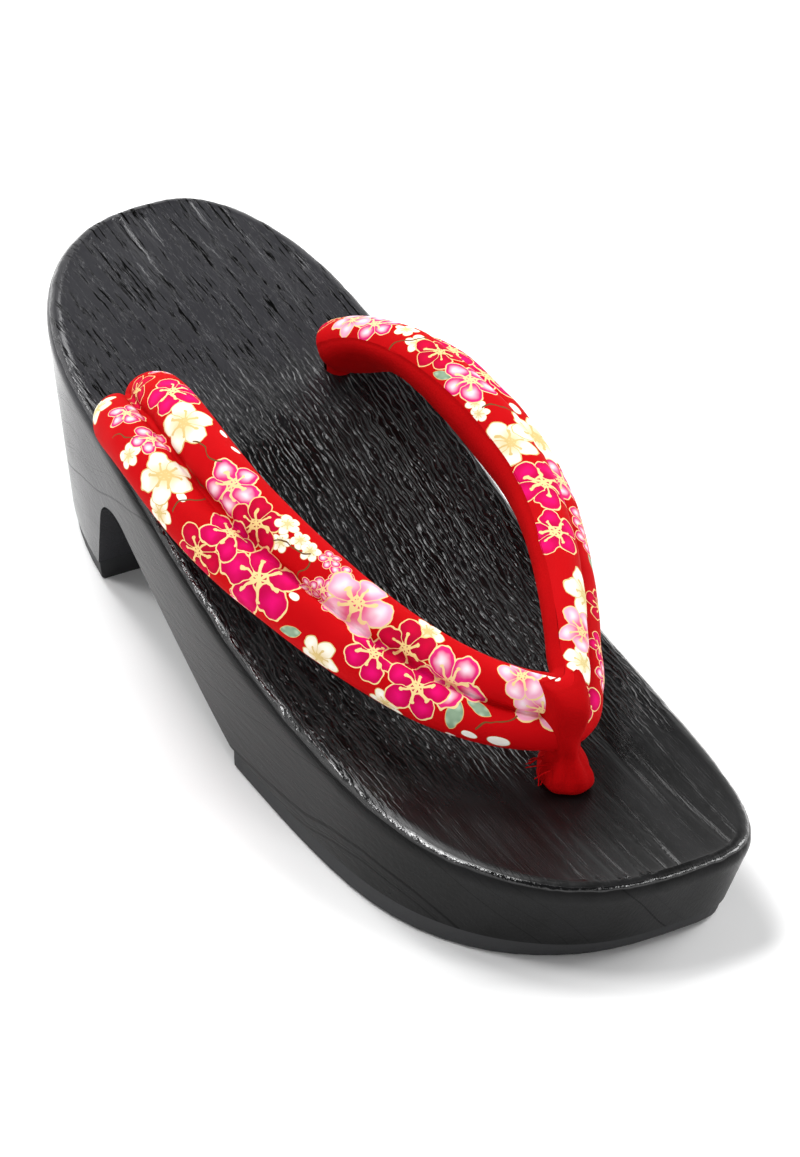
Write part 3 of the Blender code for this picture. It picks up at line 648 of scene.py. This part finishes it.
# How far the velvet laps up over the inner roll: millimetres from the loop, degrees.
# Below zero it is the print that goes further round, and the velvet starts under it.
MEDIAL_LAP = ((0, 20), (20, 8), (40, 0), (60, -16), (80, -16), (100, -8), (120, 0), (160, 0))
LATERAL_LAP = ((0, 20), (15, 16), (45, 12), (90, 6), (160, 0))
laps = []
for place in band_places:
    rows = MEDIAL_LAP if place > turn_place else LATERAL_LAP
    laps.append(math.radians(float(cubic(rows, abs(place - turn_place) * 1000)[0, 0])))

# Where each blossom, bud, leaf and twig is printed. Millimetres over the cloth:
# along from the loop, across from the groove with the inner roll's side below zero,
# then its size to the tips, its kind and its turn in degrees.
CRIMSON, MAGENTA, PINK, BLUSH, CREAM, WHITE, BUD, LEAF, TWIG = range(1, 10)
LATERAL_PRINT = (
    (2, -11.6, 4, BUD, 0), (5, -11.5, 3, BUD, 30), (9.5, -9.5, 12, BLUSH, 40), (4.5, -2, 13, BLUSH, 10),
    (34, -9.5, 9, CREAM, 0), (36, -3, 14.5, CRIMSON, 35), (24, -1.5, 17, PINK, 62),
    (41, 4, 14, MAGENTA, 10), (29.6, 5.4, 14.5, MAGENTA, 20), (20.5, 7.2, 7, LEAF, 85),
    (16.7, 3.5, 6, LEAF, 165), (12.5, 5, 9, TWIG, 40), (17, 10.2, 3.6, BUD, 10), (11.5, 9.3, 5, BUD, 5),
    (20.5, 13, 2.4, BUD, 0), (50.5, 12.5, 10, CREAM, 0), (58.3, 11.8, 6, LEAF, 35),
    (50.5, -4.8, 18, BLUSH, 15), (55.2, 0, 6.5, PINK, 50), (58.5, -3, 6.5, PINK, 10),
    (61.4, -0.8, 6, PINK, 0), (57.5, -8.2, 6.5, PINK, 30), (62, -9.6, 5.5, PINK, 0),
    (65, -3, 9, TWIG, 95), (66.2, -7.8, 5, WHITE, 40), (69.6, -8.4, 5, WHITE, 10),
    (72.6, -5.3, 5, WHITE, 30), (74.5, -9.5, 6, WHITE, 0), (70, -6, 9, TWIG, 20),
    (85, 12, 13, CRIMSON, 5), (70.3, 6.8, 20, MAGENTA, 48), (79.8, -4.8, 14, CRIMSON, 50),
    (82.7, 3.6, 14, MAGENTA, 20), (90.5, -7, 15, PINK, 15), (96, 6.5, 3.4, BUD, 0),
    (94.6, 5.5, 9, TWIG, 86), (101, -8, 9, TWIG, 15), (100, -1.2, 8, TWIG, 0), (99, -14.5, 3, BUD, 30),
    (105, -14.8, 3.4, BUD, 0), (97.8, 13.2, 8, CREAM, 20), (102.8, 6.6, 14, CREAM, 25),
    (110.8, -7.7, 14, CREAM, 10), (114, 4, 10.5, PINK, 40), (113.4, 10.4, 6.5, WHITE, 0),
    (119, 9, 7, TWIG, 40), (125.7, 4.8, 10, PINK, 0), (122, -10, 14.5, MAGENTA, 30),
    (134, -3, 11, CRIMSON, 10), (137, 9, 10, CREAM, 30), (138, -12, 9, PINK, 10), (72, 15, 7, PINK, 0),
    (34, 13, 8, CREAM, 50), (146, 3, 8, CREAM, 0), (62, 5, 3, BUD, 0),
)
MEDIAL_PRINT = (
    (4, 0.5, 11, MAGENTA, 20), (9, -8, 10, WHITE, 0), (18, -8, 12.5, BLUSH, 40),
    (28, -6, 13.5, WHITE, 15), (20, 6, 9, MAGENTA, 20), (13, 7, 8, PINK, 20), (32, 7, 10, CRIMSON, 0),
    (43.5, -12.5, 13.5, MAGENTA, 5), (44, 7, 5, LEAF, 30), (50, 6.5, 8, PINK, 20),
    (55.2, 6.9, 9, PINK, 50), (58, -11.5, 17, MAGENTA, 35), (65.6, 4.6, 12, PINK, 10),
    (72, -14.2, 14, CREAM, 10), (75, -5.5, 13, CREAM, 30), (77.5, 5, 15, CREAM, 40),
    (82, -9.5, 10, TWIG, 70), (83, -15.4, 5, WHITE, 30), (86, -14.6, 5, WHITE, 0),
    (86.4, 4.6, 4.5, BUD, 0), (91.8, -11.5, 13.5, PINK, 5), (97, -15, 5, LEAF, 20),
    (98, 5.5, 16, MAGENTA, 50), (103, -10.8, 12, CRIMSON, 10), (109, 4.5, 15, MAGENTA, 25),
    (108.3, -12, 6, WHITE, 20), (111, -13, 9, TWIG, 60), (113.6, -10, 5.5, WHITE, 0),
    (114, -4.5, 6, LEAF, 10), (121, -11, 11, PINK, 10), (128, -10.5, 11, BLUSH, 20),
    (128, 2, 13, MAGENTA, 20), (37, 14, 9, PINK, 40), (63, 14, 10, CREAM, 50), (91, 14, 7, WHITE, 0),
    (119, 8, 10, CREAM, 0), (136, -6, 9, CRIMSON, 0), (138, 8, 9, PINK, 10), (24, 13, 9, CREAM, 0),
)

face_verts = []
cloth_place = []
for index, (centre, across, outward, roll, spacing) in enumerate(band_frames):
    pucker = PUCKER_DEPTH * noise.noise((index * 0.16, 1.7, 0.0)) * min(roll / ROLL_RADIUS, 1.0)
    for a, b, over in face_section(roll, spacing, pucker, laps[index]):
        swell = 0.0004 * noise.noise((index * 0.09, over * 180, 4.0))
        point = centre + across * a + outward * (b + swell)
        face_verts.append(tuple(point))
        cloth_place.append((band_places[index], over))
face_size = 2 * ROLL_POINTS + 1
face_faces = ring_faces(len(band_frames), face_size, closed=False)
strap = make_mesh("strap_printed_cloth", face_verts, face_faces)

# Each corner of the cloth's mesh keeps its place within the blossom that covers it.
# Blossoms that overlap go to different layers, the later ones on top.
LAYERS = 4
blossoms = []
for arm, rows in ((-1, LATERAL_PRINT), (1, MEDIAL_PRINT)):
    for along, over, size, kind, turned in rows:
        blossoms.append((
            turn_place + arm * along / 1000, over / 1000, size / 2000, kind, math.radians(turned)))
layered = [[] for _ in range(LAYERS)]
for blossom in blossoms:
    for layer in layered:
        near = [b for b in layer if math.dist(b[:2], blossom[:2]) < 1.05 * (b[2] + blossom[2])]
        if not near:
            break
    layer.append(blossom)
mesh = strap.data
corner_vert = np.zeros(len(mesh.loops), int)
mesh.loops.foreach_get("vertex_index", corner_vert)
cloth_place = np.array(cloth_place)
corner_place = cloth_place[corner_vert]
face_middle = corner_place.reshape(-1, 4, 2).mean(axis=1)
for number, layer in enumerate(layered):
    best = np.full(len(face_middle), 1.25)
    inside = np.full((len(corner_place), 3), (9.0, 9.0, 0.0))
    for along, over, size, kind, turned in layer:
        away = np.linalg.norm(face_middle - (along, over), axis=1) / size
        mine = away < best
        best[mine] = away[mine]
        corners = np.repeat(mine, 4)
        offset = (corner_place[corners] - (along, over)) / size
        inside[corners, 0] = offset[:, 0] * math.cos(turned) - offset[:, 1] * math.sin(turned)
        inside[corners, 1] = offset[:, 0] * math.sin(turned) + offset[:, 1] * math.cos(turned)
        inside[corners, 2] = kind
    attribute = mesh.attributes.new(f"print_{number}", "FLOAT_VECTOR", "CORNER")
    attribute.data.foreach_set("vector", inside.ravel())
cloth_map = mesh.attributes.new("cloth", "FLOAT_VECTOR", "CORNER")
cloth_map.data.foreach_set(
    "vector", np.column_stack([corner_place * 1000, np.zeros(len(corner_place))]).ravel())

# Printed cotton crepe: flat red with crisp gold outlines and a soft, dry surface.
# Its threads are about 0.35 mm apart, drawn a little coarser so that they show.
THREAD_GAP = 0.35
cotton, tree, shader = new_finish("printed_red_cotton_crepe")
weave_place = add_node(tree, "ShaderNodeAttribute", attribute_name="cloth").outputs["Vector"]
dye = add_node(tree, "ShaderNodeTexNoise", {"Vector": weave_place, "Scale": 0.12, "Detail": 2.0})
cloth_colour = add_node(
    tree, "ShaderNodeMix", {"Factor": dye, 6: srgb("#b60006"), 7: srgb("#c60008")}, data_type="RGBA")
wobble = add_node(tree, "ShaderNodeTexNoise", {"Vector": weave_place, "Scale": 0.3, "Detail": 1.0})

# by kind, from plain cloth on: the petal's rim, its middle, the blossom's heart, its lines
KIND_COLOURS = (
    ("#b8000c", "#b8000c", "#b8000c", "#b8000c"),
    ("#bc0030", "#d2003a", "#a8002c", "#eccb88"),
    ("#cc0050", "#ea0a72", "#bc0044", "#f2d494"),
    ("#de2474", "#fdf0f6", "#dc307c", "#f2d498"),
    ("#f0a8c4", "#fcecf2", "#dc2468", "#ecd092"),
    ("#f4ecda", "#fdfaf2", "#e4c88e", "#d8bc7c"),
    ("#f4eee2", "#fcf9f2", "#e6d298", "#d8c488"),
    ("#f4efe6", "#faf7f0", "#f4efe6", "#c8b078"),
    ("#7f9a80", "#b4cbb0", "#90a98e", "#d6b874"),
    ("#6e4a28", "#6e4a28", "#6e4a28", "#6e4a28"),
)

# How one motif is drawn, step by step, in shares of its size from its middle:
# each row is a name, a sum to do, and what it takes
DRAWING = (
    ("uneven", "MULTIPLY_ADD", "wobble", 0.3, -0.15),
    ("x", "ADD", "spot_x", "uneven"),
    ("y", "SUBTRACT", "spot_y", "uneven"),
    ("xx", "MULTIPLY", "x", "x"),
    ("yy", "MULTIPLY", "y", "y"),
    ("away_square", "ADD", "xx", "yy"),
    ("away", "SQRT", "away_square"),
    ("angle", "ARCTAN2", "y", "x"),
    # one of five petals: an oval that overlaps its neighbours near the heart
    ("fifth", "WRAP", "angle", math.pi / 5, -math.pi / 5),
    ("fifth_cosine", "COSINE", "fifth"),
    ("fifth_out", "MULTIPLY", "away", "fifth_cosine"),
    ("petal_x", "SUBTRACT", "fifth_out", 0.56),
    ("fifth_sine", "SINE", "fifth"),
    ("fifth_side", "MULTIPLY", "away", "fifth_sine"),
    ("petal_y", "MULTIPLY", "fifth_side", 1.12),
    ("petal_xx", "MULTIPLY", "petal_x", "petal_x"),
    ("petal_yy", "MULTIPLY", "petal_y", "petal_y"),
    ("petal_square", "ADD", "petal_xx", "petal_yy"),
    ("petal_far", "SQRT", "petal_square"),
    ("oval", "SUBTRACT", "petal_far", 0.42),
    ("heart", "SUBTRACT", "away", 0.18),
    ("petal", "MINIMUM", "oval", "heart"),
    # an oval bud, a pointed leaf and a thin bent twig
    ("bud_yy", "MULTIPLY", "yy", 2.4),
    ("bud_square", "ADD", "xx", "bud_yy"),
    ("bud_far", "SQRT", "bud_square"),
    ("bud", "SUBTRACT", "bud_far", 0.85),
    ("off_middle", "ABSOLUTE", "y"),
    ("leaf_y", "ADD", "off_middle", 0.75),
    ("leaf_yy", "MULTIPLY", "leaf_y", "leaf_y"),
    ("leaf_square", "ADD", "xx", "leaf_yy"),
    ("leaf_far", "SQRT", "leaf_square"),
    ("leaf", "SUBTRACT", "leaf_far", 1.22),
    ("bend_turn", "MULTIPLY", "x", 3.0),
    ("bend_sine", "SINE", "bend_turn"),
    ("bend", "MULTIPLY", "bend_sine", 0.16),
    ("off_bend", "SUBTRACT", "y", "bend"),
    ("twig_side", "ABSOLUTE", "off_bend"),
    ("twig_off", "SUBTRACT", "twig_side", 0.035),
    ("twig_length", "ABSOLUTE", "x"),
    ("twig_past", "SUBTRACT", "twig_length", 1.0),
    ("twig", "MAXIMUM", "twig_off", "twig_past"),
    # the motif's own shape, below zero inside it: each kind from the bud on takes over
    ("is_bud", "GREATER_THAN", "kind", BUD - 0.5),
    ("not_bud", "SUBTRACT", 1.0, "is_bud"),
    ("keep_petal", "MULTIPLY", "petal", "not_bud"),
    ("take_bud", "MULTIPLY", "bud", "is_bud"),
    ("shape_bud", "ADD", "keep_petal", "take_bud"),
    ("is_leaf", "GREATER_THAN", "kind", LEAF - 0.5),
    ("not_leaf", "SUBTRACT", 1.0, "is_leaf"),
    ("keep_bud", "MULTIPLY", "shape_bud", "not_leaf"),
    ("take_leaf", "MULTIPLY", "leaf", "is_leaf"),
    ("shape_leaf", "ADD", "keep_bud", "take_leaf"),
    ("is_twig", "GREATER_THAN", "kind", TWIG - 0.5),
    ("not_twig", "SUBTRACT", 1.0, "is_twig"),
    ("keep_leaf", "MULTIPLY", "shape_leaf", "not_twig"),
    ("take_twig", "MULTIPLY", "twig", "is_twig"),
    ("shape", "ADD", "keep_leaf", "take_twig"),
    ("inside", "LESS_THAN", "shape", 0.0),
    ("shape_in", "ADD", "shape", 0.018),
    ("edge", "ABSOLUTE", "shape_in"),
    ("outline", "LESS_THAN", "edge", 0.023),
    ("is_blossom", "LESS_THAN", "kind", BUD - 0.5),
    # where two petals overlap, the line between them
    ("fifth_half", "ABSOLUTE", "fifth"),
    ("from_gap", "SUBTRACT", math.pi / 5, "fifth_half"),
    ("gap_sine", "SINE", "from_gap"),
    ("apart", "MULTIPLY", "away", "gap_sine"),
    ("in_gap", "LESS_THAN", "apart", 0.012),
    ("between", "MULTIPLY", "in_gap", "inside"),
    # six gold threads from the heart, each with its grain of pollen
    ("turned", "ADD", "angle", 0.3),
    ("sixth", "WRAP", "turned", math.pi / 6, -math.pi / 6),
    ("sixth_sine", "SINE", "sixth"),
    ("sixth_side", "MULTIPLY", "away", "sixth_sine"),
    ("thread_y", "ABSOLUTE", "sixth_side"),
    ("sixth_cosine", "COSINE", "sixth"),
    ("thread_x", "MULTIPLY", "away", "sixth_cosine"),
    ("thread_thin", "LESS_THAN", "thread_y", 0.036),
    ("thread_short", "LESS_THAN", "thread_x", 0.44),
    ("thread", "MULTIPLY", "thread_thin", "thread_short"),
    ("grain_x", "SUBTRACT", "thread_x", 0.46),
    ("grain_xx", "MULTIPLY", "grain_x", "grain_x"),
    ("thread_yy", "MULTIPLY", "thread_y", "thread_y"),
    ("grain_square", "ADD", "grain_xx", "thread_yy"),
    ("grain", "LESS_THAN", "grain_square", 0.0034),
    ("stamen", "MAXIMUM", "thread", "grain"),
    ("inner_gold", "MAXIMUM", "between", "stamen"),
    ("blossom_gold", "MULTIPLY", "is_blossom", "inner_gold"),
    ("gold", "MAXIMUM", "blossom_gold", "outline"),
    # what of it shows: its inside, and its outline where that is near
    ("near", "LESS_THAN", "away", 1.4),
    ("outline_near", "MULTIPLY", "outline", "near"),
    ("covered", "MAXIMUM", "inside", "outline_near"),
    ("is_printed", "GREATER_THAN", "kind", 0.5),
    ("shown", "MULTIPLY", "covered", "is_printed"),
    ("step", "DIVIDE", "kind", 10.0),
)
for number in range(LAYERS):
    spot = add_node(tree, "ShaderNodeAttribute", attribute_name=f"print_{number}")
    part = add_node(tree, "ShaderNodeSeparateXYZ", {0: spot.outputs["Vector"]})
    made = {
        "wobble": wobble, "spot_x": part.outputs["X"], "spot_y": part.outputs["Y"], "kind": part.outputs["Z"]}
    for name, operation, *values in DRAWING:
        takes = {i: made.get(value, value) for i, value in enumerate(values)}
        made[name] = add_node(tree, "ShaderNodeMath", takes, operation=operation)
    colours = []
    for codes in zip(*KIND_COLOURS):
        ramp = add_node(tree, "ShaderNodeValToRGB", {"Fac": made["step"]})
        ramp.color_ramp.interpolation = "CONSTANT"
        for i, code in enumerate(codes):
            stop = ramp.color_ramp.elements[0] if i == 0 else ramp.color_ramp.elements.new((i - 0.5) / 10.0)
            stop.color = srgb(code)
        colours.append(ramp)
    rim, middle, heart, lines = colours
    bright = add_node(tree, "ShaderNodeMapRange", {
        "Value": made["petal_far"], "From Min": 0.05, "From Max": 0.30, "To Min": 1.0, "To Max": 0.0})
    petals = add_node(tree, "ShaderNodeMix", {"Factor": bright, 6: rim, 7: middle}, data_type="RGBA")
    inner = add_node(tree, "ShaderNodeMapRange", {
        "Value": made["away"], "From Min": 0.10, "From Max": 0.66, "To Min": 1.0, "To Max": 0.0})
    shaded = add_node(tree, "ShaderNodeMix", {"Factor": inner, 6: petals, 7: heart}, data_type="RGBA")
    drawn = add_node(tree, "ShaderNodeMix", {"Factor": made["gold"], 6: shaded, 7: lines}, data_type="RGBA")
    cloth_colour = add_node(
        tree, "ShaderNodeMix", {"Factor": made["shown"], 6: cloth_colour, 7: drawn}, data_type="RGBA")
weave_scale = add_node(
    tree, "ShaderNodeVectorMath", {0: weave_place, 1: (1 / THREAD_GAP, 1 / THREAD_GAP, 1)},
    operation="MULTIPLY")
weave = add_node(tree, "ShaderNodeTexNoise", {"Vector": weave_scale, "Scale": 1.0, "Detail": 2.0})
threads = add_node(tree, "ShaderNodeBump", {"Strength": 0.35, "Distance": 0.00006, "Height": weave})
set_inputs(tree, shader, {
    "Base Color": cloth_colour, "Normal": threads, "Roughness": 0.8, "Specular IOR Level": 0.1, "IOR": 1.45})
wear(strap, cotton)
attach(strap, "root")
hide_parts("strap_face")

# The strap's lining: red cotton velvet under the rolls, sewn to the printed face
# along both edges and drawn round the ends where the cords go into the deck.
LINING_POINTS = 30
LAP_POINTS = 6
LINING_SLACK = 0.0020
lining_verts = []
for index, (centre, across, outward, roll, spacing) in enumerate(band_frames):
    width = spacing * roll + roll * math.cos(math.asin(SEAM_DROP))
    # the loose pile hangs a little below its seam on the medial arm, and at both ends
    along = (band_places[index] - turn_place) * 1000
    slack = LINING_SLACK * (math.exp(-((along - 84) / 24) ** 2) + math.exp(-((abs(along) - 138) / 9) ** 2))
    depth = (LINING_SHARE - SEAM_DROP) * roll + slack
    half = spacing * roll
    low = math.pi + math.asin(SEAM_DROP)
    for i in range(LAP_POINTS, 0, -1):
        angle = low - (max(laps[index], 0.0) + 0.02) * i / LAP_POINTS
        swell = roll * 1.003
        lining_verts.append(tuple(
            centre + across * (-half + swell * math.cos(angle)) + outward * swell * math.sin(angle)))
    for i in range(LINING_POINTS, -1, -1):
        angle = math.pi * i / LINING_POINTS
        a = math.copysign(abs(math.cos(angle)) ** 0.8, math.cos(angle))
        b = abs(math.sin(angle)) ** 0.8
        soft = 0.00014 * noise.noise((index * 0.16, i * 0.3, 8.0))
        point = centre + across * (width * a) + outward * (-SEAM_DROP * roll - (depth + soft) * b)
        lining_verts.append(tuple(point))
lining_faces = ring_faces(len(band_frames), LAP_POINTS + LINING_POINTS + 1, closed=False)
lining = make_mesh("strap_velvet_lining", lining_verts, lining_faces)

# Red cotton velvet: a deep red that lightens where the pile is seen from the side.
# The pile's mottle is about 0.5 mm and the brushed patches some 8 mm across.
velvet, tree, shader = new_finish("red_cotton_velvet")
place = add_node(tree, "ShaderNodeTexCoord")
pile = add_node(
    tree, "ShaderNodeTexNoise", {"Vector": place.outputs["Object"], "Scale": 2000.0, "Detail": 2.0})
brushed = add_node(
    tree, "ShaderNodeTexNoise", {"Vector": place.outputs["Object"], "Scale": 120.0, "Detail": 2.0})
red = add_node(
    tree, "ShaderNodeMix", {"Factor": brushed, 6: srgb("#a40004"), 7: srgb("#b80206")}, data_type="RGBA")
nap = add_node(tree, "ShaderNodeBump", {"Strength": 0.5, "Distance": 0.00015, "Height": pile})
set_inputs(tree, shader, {
    "Base Color": red, "Normal": nap, "Roughness": 0.9, "Specular IOR Level": 0.08,
    "Sheen Weight": 0.12, "Sheen Roughness": 0.35, "Sheen Tint": srgb("#ff2010")})
wear(lining, velvet)
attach(lining, "root")
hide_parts("strap_lining")

# The toe loop: a strip of the same velvet folded round the strap where it turns,
# pulled tight to a narrow waist and knotted under the deck. It spreads at the hole.
LOOP_HEIGHT = 0.0252
LOOP_HALF_WIDTH = 0.0046
LOOP_HALF_DEPTH = 0.0076
LOOP_POINTS = 96
LOOP_LEVELS = 90
FOLD_DEPTH = 0.0007

# share of the height, half width, half depth, share of the way back to the band
LOOP_ROWS = (
    (0.000, 0.92, 0.62, 0.0),
    (0.050, 1.20, 0.84, 0.0),
    (0.130, 1.22, 0.86, 0.0),
    (0.230, 0.96, 0.70, 0.1),
    (0.310, 0.74, 0.60, 0.4),
    (0.400, 0.82, 0.74, 0.8),
    (0.520, 0.96, 0.84, 1.0),
    (0.650, 1.04, 0.86, 1.1),
    (0.780, 1.08, 0.82, 1.2),
    (0.880, 1.09, 0.68, 1.3),
    (0.950, 1.07, 0.46, 1.3),
    (0.985, 1.04, 0.26, 1.3),
    (1.000, 1.00, 0.05, 1.3),
)
loop_base = deck_height(LOOP_HOLE_STATION)[0] - DISH_DEPTH
loop_back = BAND_FRONT_STATION - LOOP_HOLE_STATION
loop_verts = []
for level in range(LOOP_LEVELS + 1):
    # closer together towards the top, where the strip turns over the band
    share = math.sin(level / LOOP_LEVELS * math.pi / 2) ** 1.1
    wide, deep, shift = cubic(LOOP_ROWS, share)[0]
    squareness = 0.9 - 0.35 * min(max((share - 0.4) / 0.3, 0.0), 1.0)
    for i in range(LOOP_POINTS):
        angle = 2 * math.pi * i / LOOP_POINTS
        # folds gathered at the waist run down into the flare and up over the band
        fold = math.sin(4 * angle + 3.5 * share) * 0.5 + math.sin(7 * angle - 4.0 * share + 1.0) * 0.5
        gather = math.exp(-((share - 0.24) / 0.16) ** 2)
        push = FOLD_DEPTH * fold * (0.18 + gather)
        a = math.copysign(abs(math.cos(angle)) ** squareness, math.cos(angle))
        b = math.copysign(abs(math.sin(angle)) ** squareness, math.sin(angle))
        sag = 0.0007 * math.sin(9.0 * share + 1.5 * a) * min(share * 2, 1.0) * (1 if b < 0 else 0)
        x = LOOP_HOLE_SIDE + (wide * LOOP_HALF_WIDTH + push) * a
        station = LOOP_HOLE_STATION + shift * loop_back + (deep * LOOP_HALF_DEPTH + push + sag) * b
        height = share * LOOP_HEIGHT
        follow = max(0.0, 1 - height / 0.010)
        slope = (deck_height(station)[0] - deck_height(LOOP_HOLE_STATION)[0]) * follow
        # the strip's top is drawn down a little between its edges
        dip = 0.0006 * max(0.0, share - 0.8) / 0.2 * (1 - a * a)
        loop_verts.append((x, station - BALL_STATION, loop_base + height + slope - 0.0004 - dip))
loop_faces = ring_faces(LOOP_LEVELS + 1, LOOP_POINTS)
loop_faces.append(tuple(range(LOOP_POINTS - 1, -1, -1)))
loop_faces.append(tuple(range(LOOP_LEVELS * LOOP_POINTS, (LOOP_LEVELS + 1) * LOOP_POINTS)))
loop = make_mesh("toe_loop_velvet", loop_verts, loop_faces)
wear(loop, velvet)
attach(loop, "root")
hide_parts("toe_loop")

# Frayed threads of the loop's cut edge, on its outer side where it meets the deck:
# loose ends of red cotton about 0.3 mm thick.
THREAD_RADIUS = 0.00014
THREAD_COUNT = 7
THREAD_SEED = 5
dice = random.Random(THREAD_SEED)
frayed = bpy.data.curves.new("frayed_threads", "CURVE")
frayed.dimensions = "3D"
frayed.bevel_depth = THREAD_RADIUS
frayed.bevel_resolution = 2
for number in range(THREAD_COUNT):
    height = loop_base + 0.0035 + 0.0045 * dice.random()
    end = Vector((
        LOOP_HOLE_SIDE - 0.0062 - 0.0026 * dice.random(),
        LOOP_HOLE_STATION - BALL_STATION - 0.002 + 0.006 * dice.random(),
        loop_base + 0.0012 + 0.004 * dice.random(),
    ))
    start = Vector((LOOP_HOLE_SIDE - 0.0030, LOOP_HOLE_STATION - BALL_STATION - 0.001, height))
    bend = Vector((dice.uniform(-1, 1), dice.uniform(-1, 1), dice.uniform(0, 1.2))) * 0.0016
    spline = frayed.splines.new("BEZIER")
    spline.bezier_points.add(2)
    for point, spot in zip(spline.bezier_points, (start, (start + end) / 2 + bend, end)):
        point.co = spot
        point.handle_left_type = "AUTO"
        point.handle_right_type = "AUTO"
threads_piece = bpy.data.objects.new("frayed_threads", frayed)
bpy.context.scene.collection.objects.link(threads_piece)
threads_piece.data.materials.append(velvet)
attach(threads_piece, "root")

# The setting, as in a catalogue photograph: a pale floor that runs out of the picture,
# and five soft lights whose reflections give the lacquer its sheen and its glints.
CAMERA_AIM = Vector((-0.0041, 0.067, 0.030))
CAMERA_AZIMUTH = -30.4
CAMERA_ELEVATION = 34.03
CAMERA_ROLL = 1.61
CAMERA_DISTANCE = 1.246
IMAGE_HEIGHT = 1157
SENSOR_WIDTH = 36
FOCAL_PIXELS = 5600
SIDE_SHIFT_PIXELS = 57

floor = make_mesh("pale_floor", [(-4, -4, 0), (4, -4, 0), (4, 4, 0), (-4, 4, 0)], [(0, 1, 2, 3)])
paper, tree, shader = new_finish("pale_background_paper")
place = add_node(tree, "ShaderNodeTexCoord")
fibre = add_node(tree, "ShaderNodeTexNoise", {"Vector": place.outputs["Object"], "Scale": 6.0, "Detail": 2.0})
pale = add_node(
    tree, "ShaderNodeMix", {"Factor": fibre, 6: srgb("#fafafa"), 7: srgb("#fdfdfd")}, data_type="RGBA")
set_inputs(tree, shader, {"Base Color": pale, "Roughness": 0.9})
wear(floor, paper)

azimuth = math.radians(CAMERA_AZIMUTH)
elevation = math.radians(CAMERA_ELEVATION)
rolled = math.radians(CAMERA_ROLL)
back = Vector((
    math.sin(azimuth) * math.cos(elevation), -math.cos(azimuth) * math.cos(elevation), math.sin(elevation)))
right = Vector((math.cos(azimuth), math.sin(azimuth), 0))
up = back.cross(right)
image_right = right * math.cos(rolled) + up * math.sin(rolled)
image_up = up * math.cos(rolled) - right * math.sin(rolled)
lens = bpy.data.cameras.new("catalogue_camera")
camera = bpy.data.objects.new("catalogue_camera", lens)
bpy.context.scene.collection.objects.link(camera)
turned = Matrix((image_right, image_up, back)).transposed()
camera.matrix_world = Matrix.Translation(CAMERA_AIM + back * CAMERA_DISTANCE) @ turned.to_4x4()
lens.sensor_fit = "AUTO"
lens.sensor_width = SENSOR_WIDTH
lens.lens = FOCAL_PIXELS * SENSOR_WIDTH / IMAGE_HEIGHT
lens.shift_x = SIDE_SHIFT_PIXELS / IMAGE_HEIGHT
lens.clip_start = 0.05
lens.clip_end = 30
bpy.context.scene.camera = camera

away = Vector((-back.x, -back.y, 0)).normalized()
# to the camera's right, away from it and up, then the side and the power in watts
for name, side, depth, height, size, power in (
    ("top_softbox", -0.45, 0.35, 1.50, 0.45, 9),
    ("back_softbox", -0.55, 0.95, 1.30, 0.60, 12),
    ("right_softbox", 1.30, 0.50, 1.10, 0.80, 13),
    ("left_softbox", -0.83, -0.13, 1.46, 0.40, 9),
    ("front_softbox", 0.62, -0.22, 1.05, 0.22, 1.8),
):
    light = bpy.data.lights.new(name, "AREA")
    light.shape = "SQUARE"
    light.size = size
    light.energy = power
    lamp = bpy.data.objects.new(name, light)
    lamp.location = CAMERA_AIM + right * side + away * depth + Vector((0, 0, height))
    lamp.rotation_euler = (CAMERA_AIM - lamp.location).to_track_quat("-Z", "Y").to_euler()
    bpy.context.scene.collection.objects.link(lamp)

# the room: white walls lit from below the ceiling, which is darker
world = bpy.data.worlds.new("pale_studio")
world.use_nodes = True
tree = world.node_tree
look = add_node(tree, "ShaderNodeTexCoord")
height = add_node(tree, "ShaderNodeSeparateXYZ", {0: look.outputs["Generated"]})
room = add_node(tree, "ShaderNodeValToRGB", {"Fac": height.outputs["Z"]})
room.color_ramp.elements[0].color = srgb("#f6f6f6")
room.color_ramp.elements[0].position = 0.55
room.color_ramp.elements[1].color = srgb("#38383a")
room.color_ramp.elements[1].position = 0.70
set_inputs(tree, tree.nodes["Background"], {"Color": room, "Strength": 1.0})
bpy.context.scene.world = world
bpy.context.scene.view_settings.view_transform = "Standard"
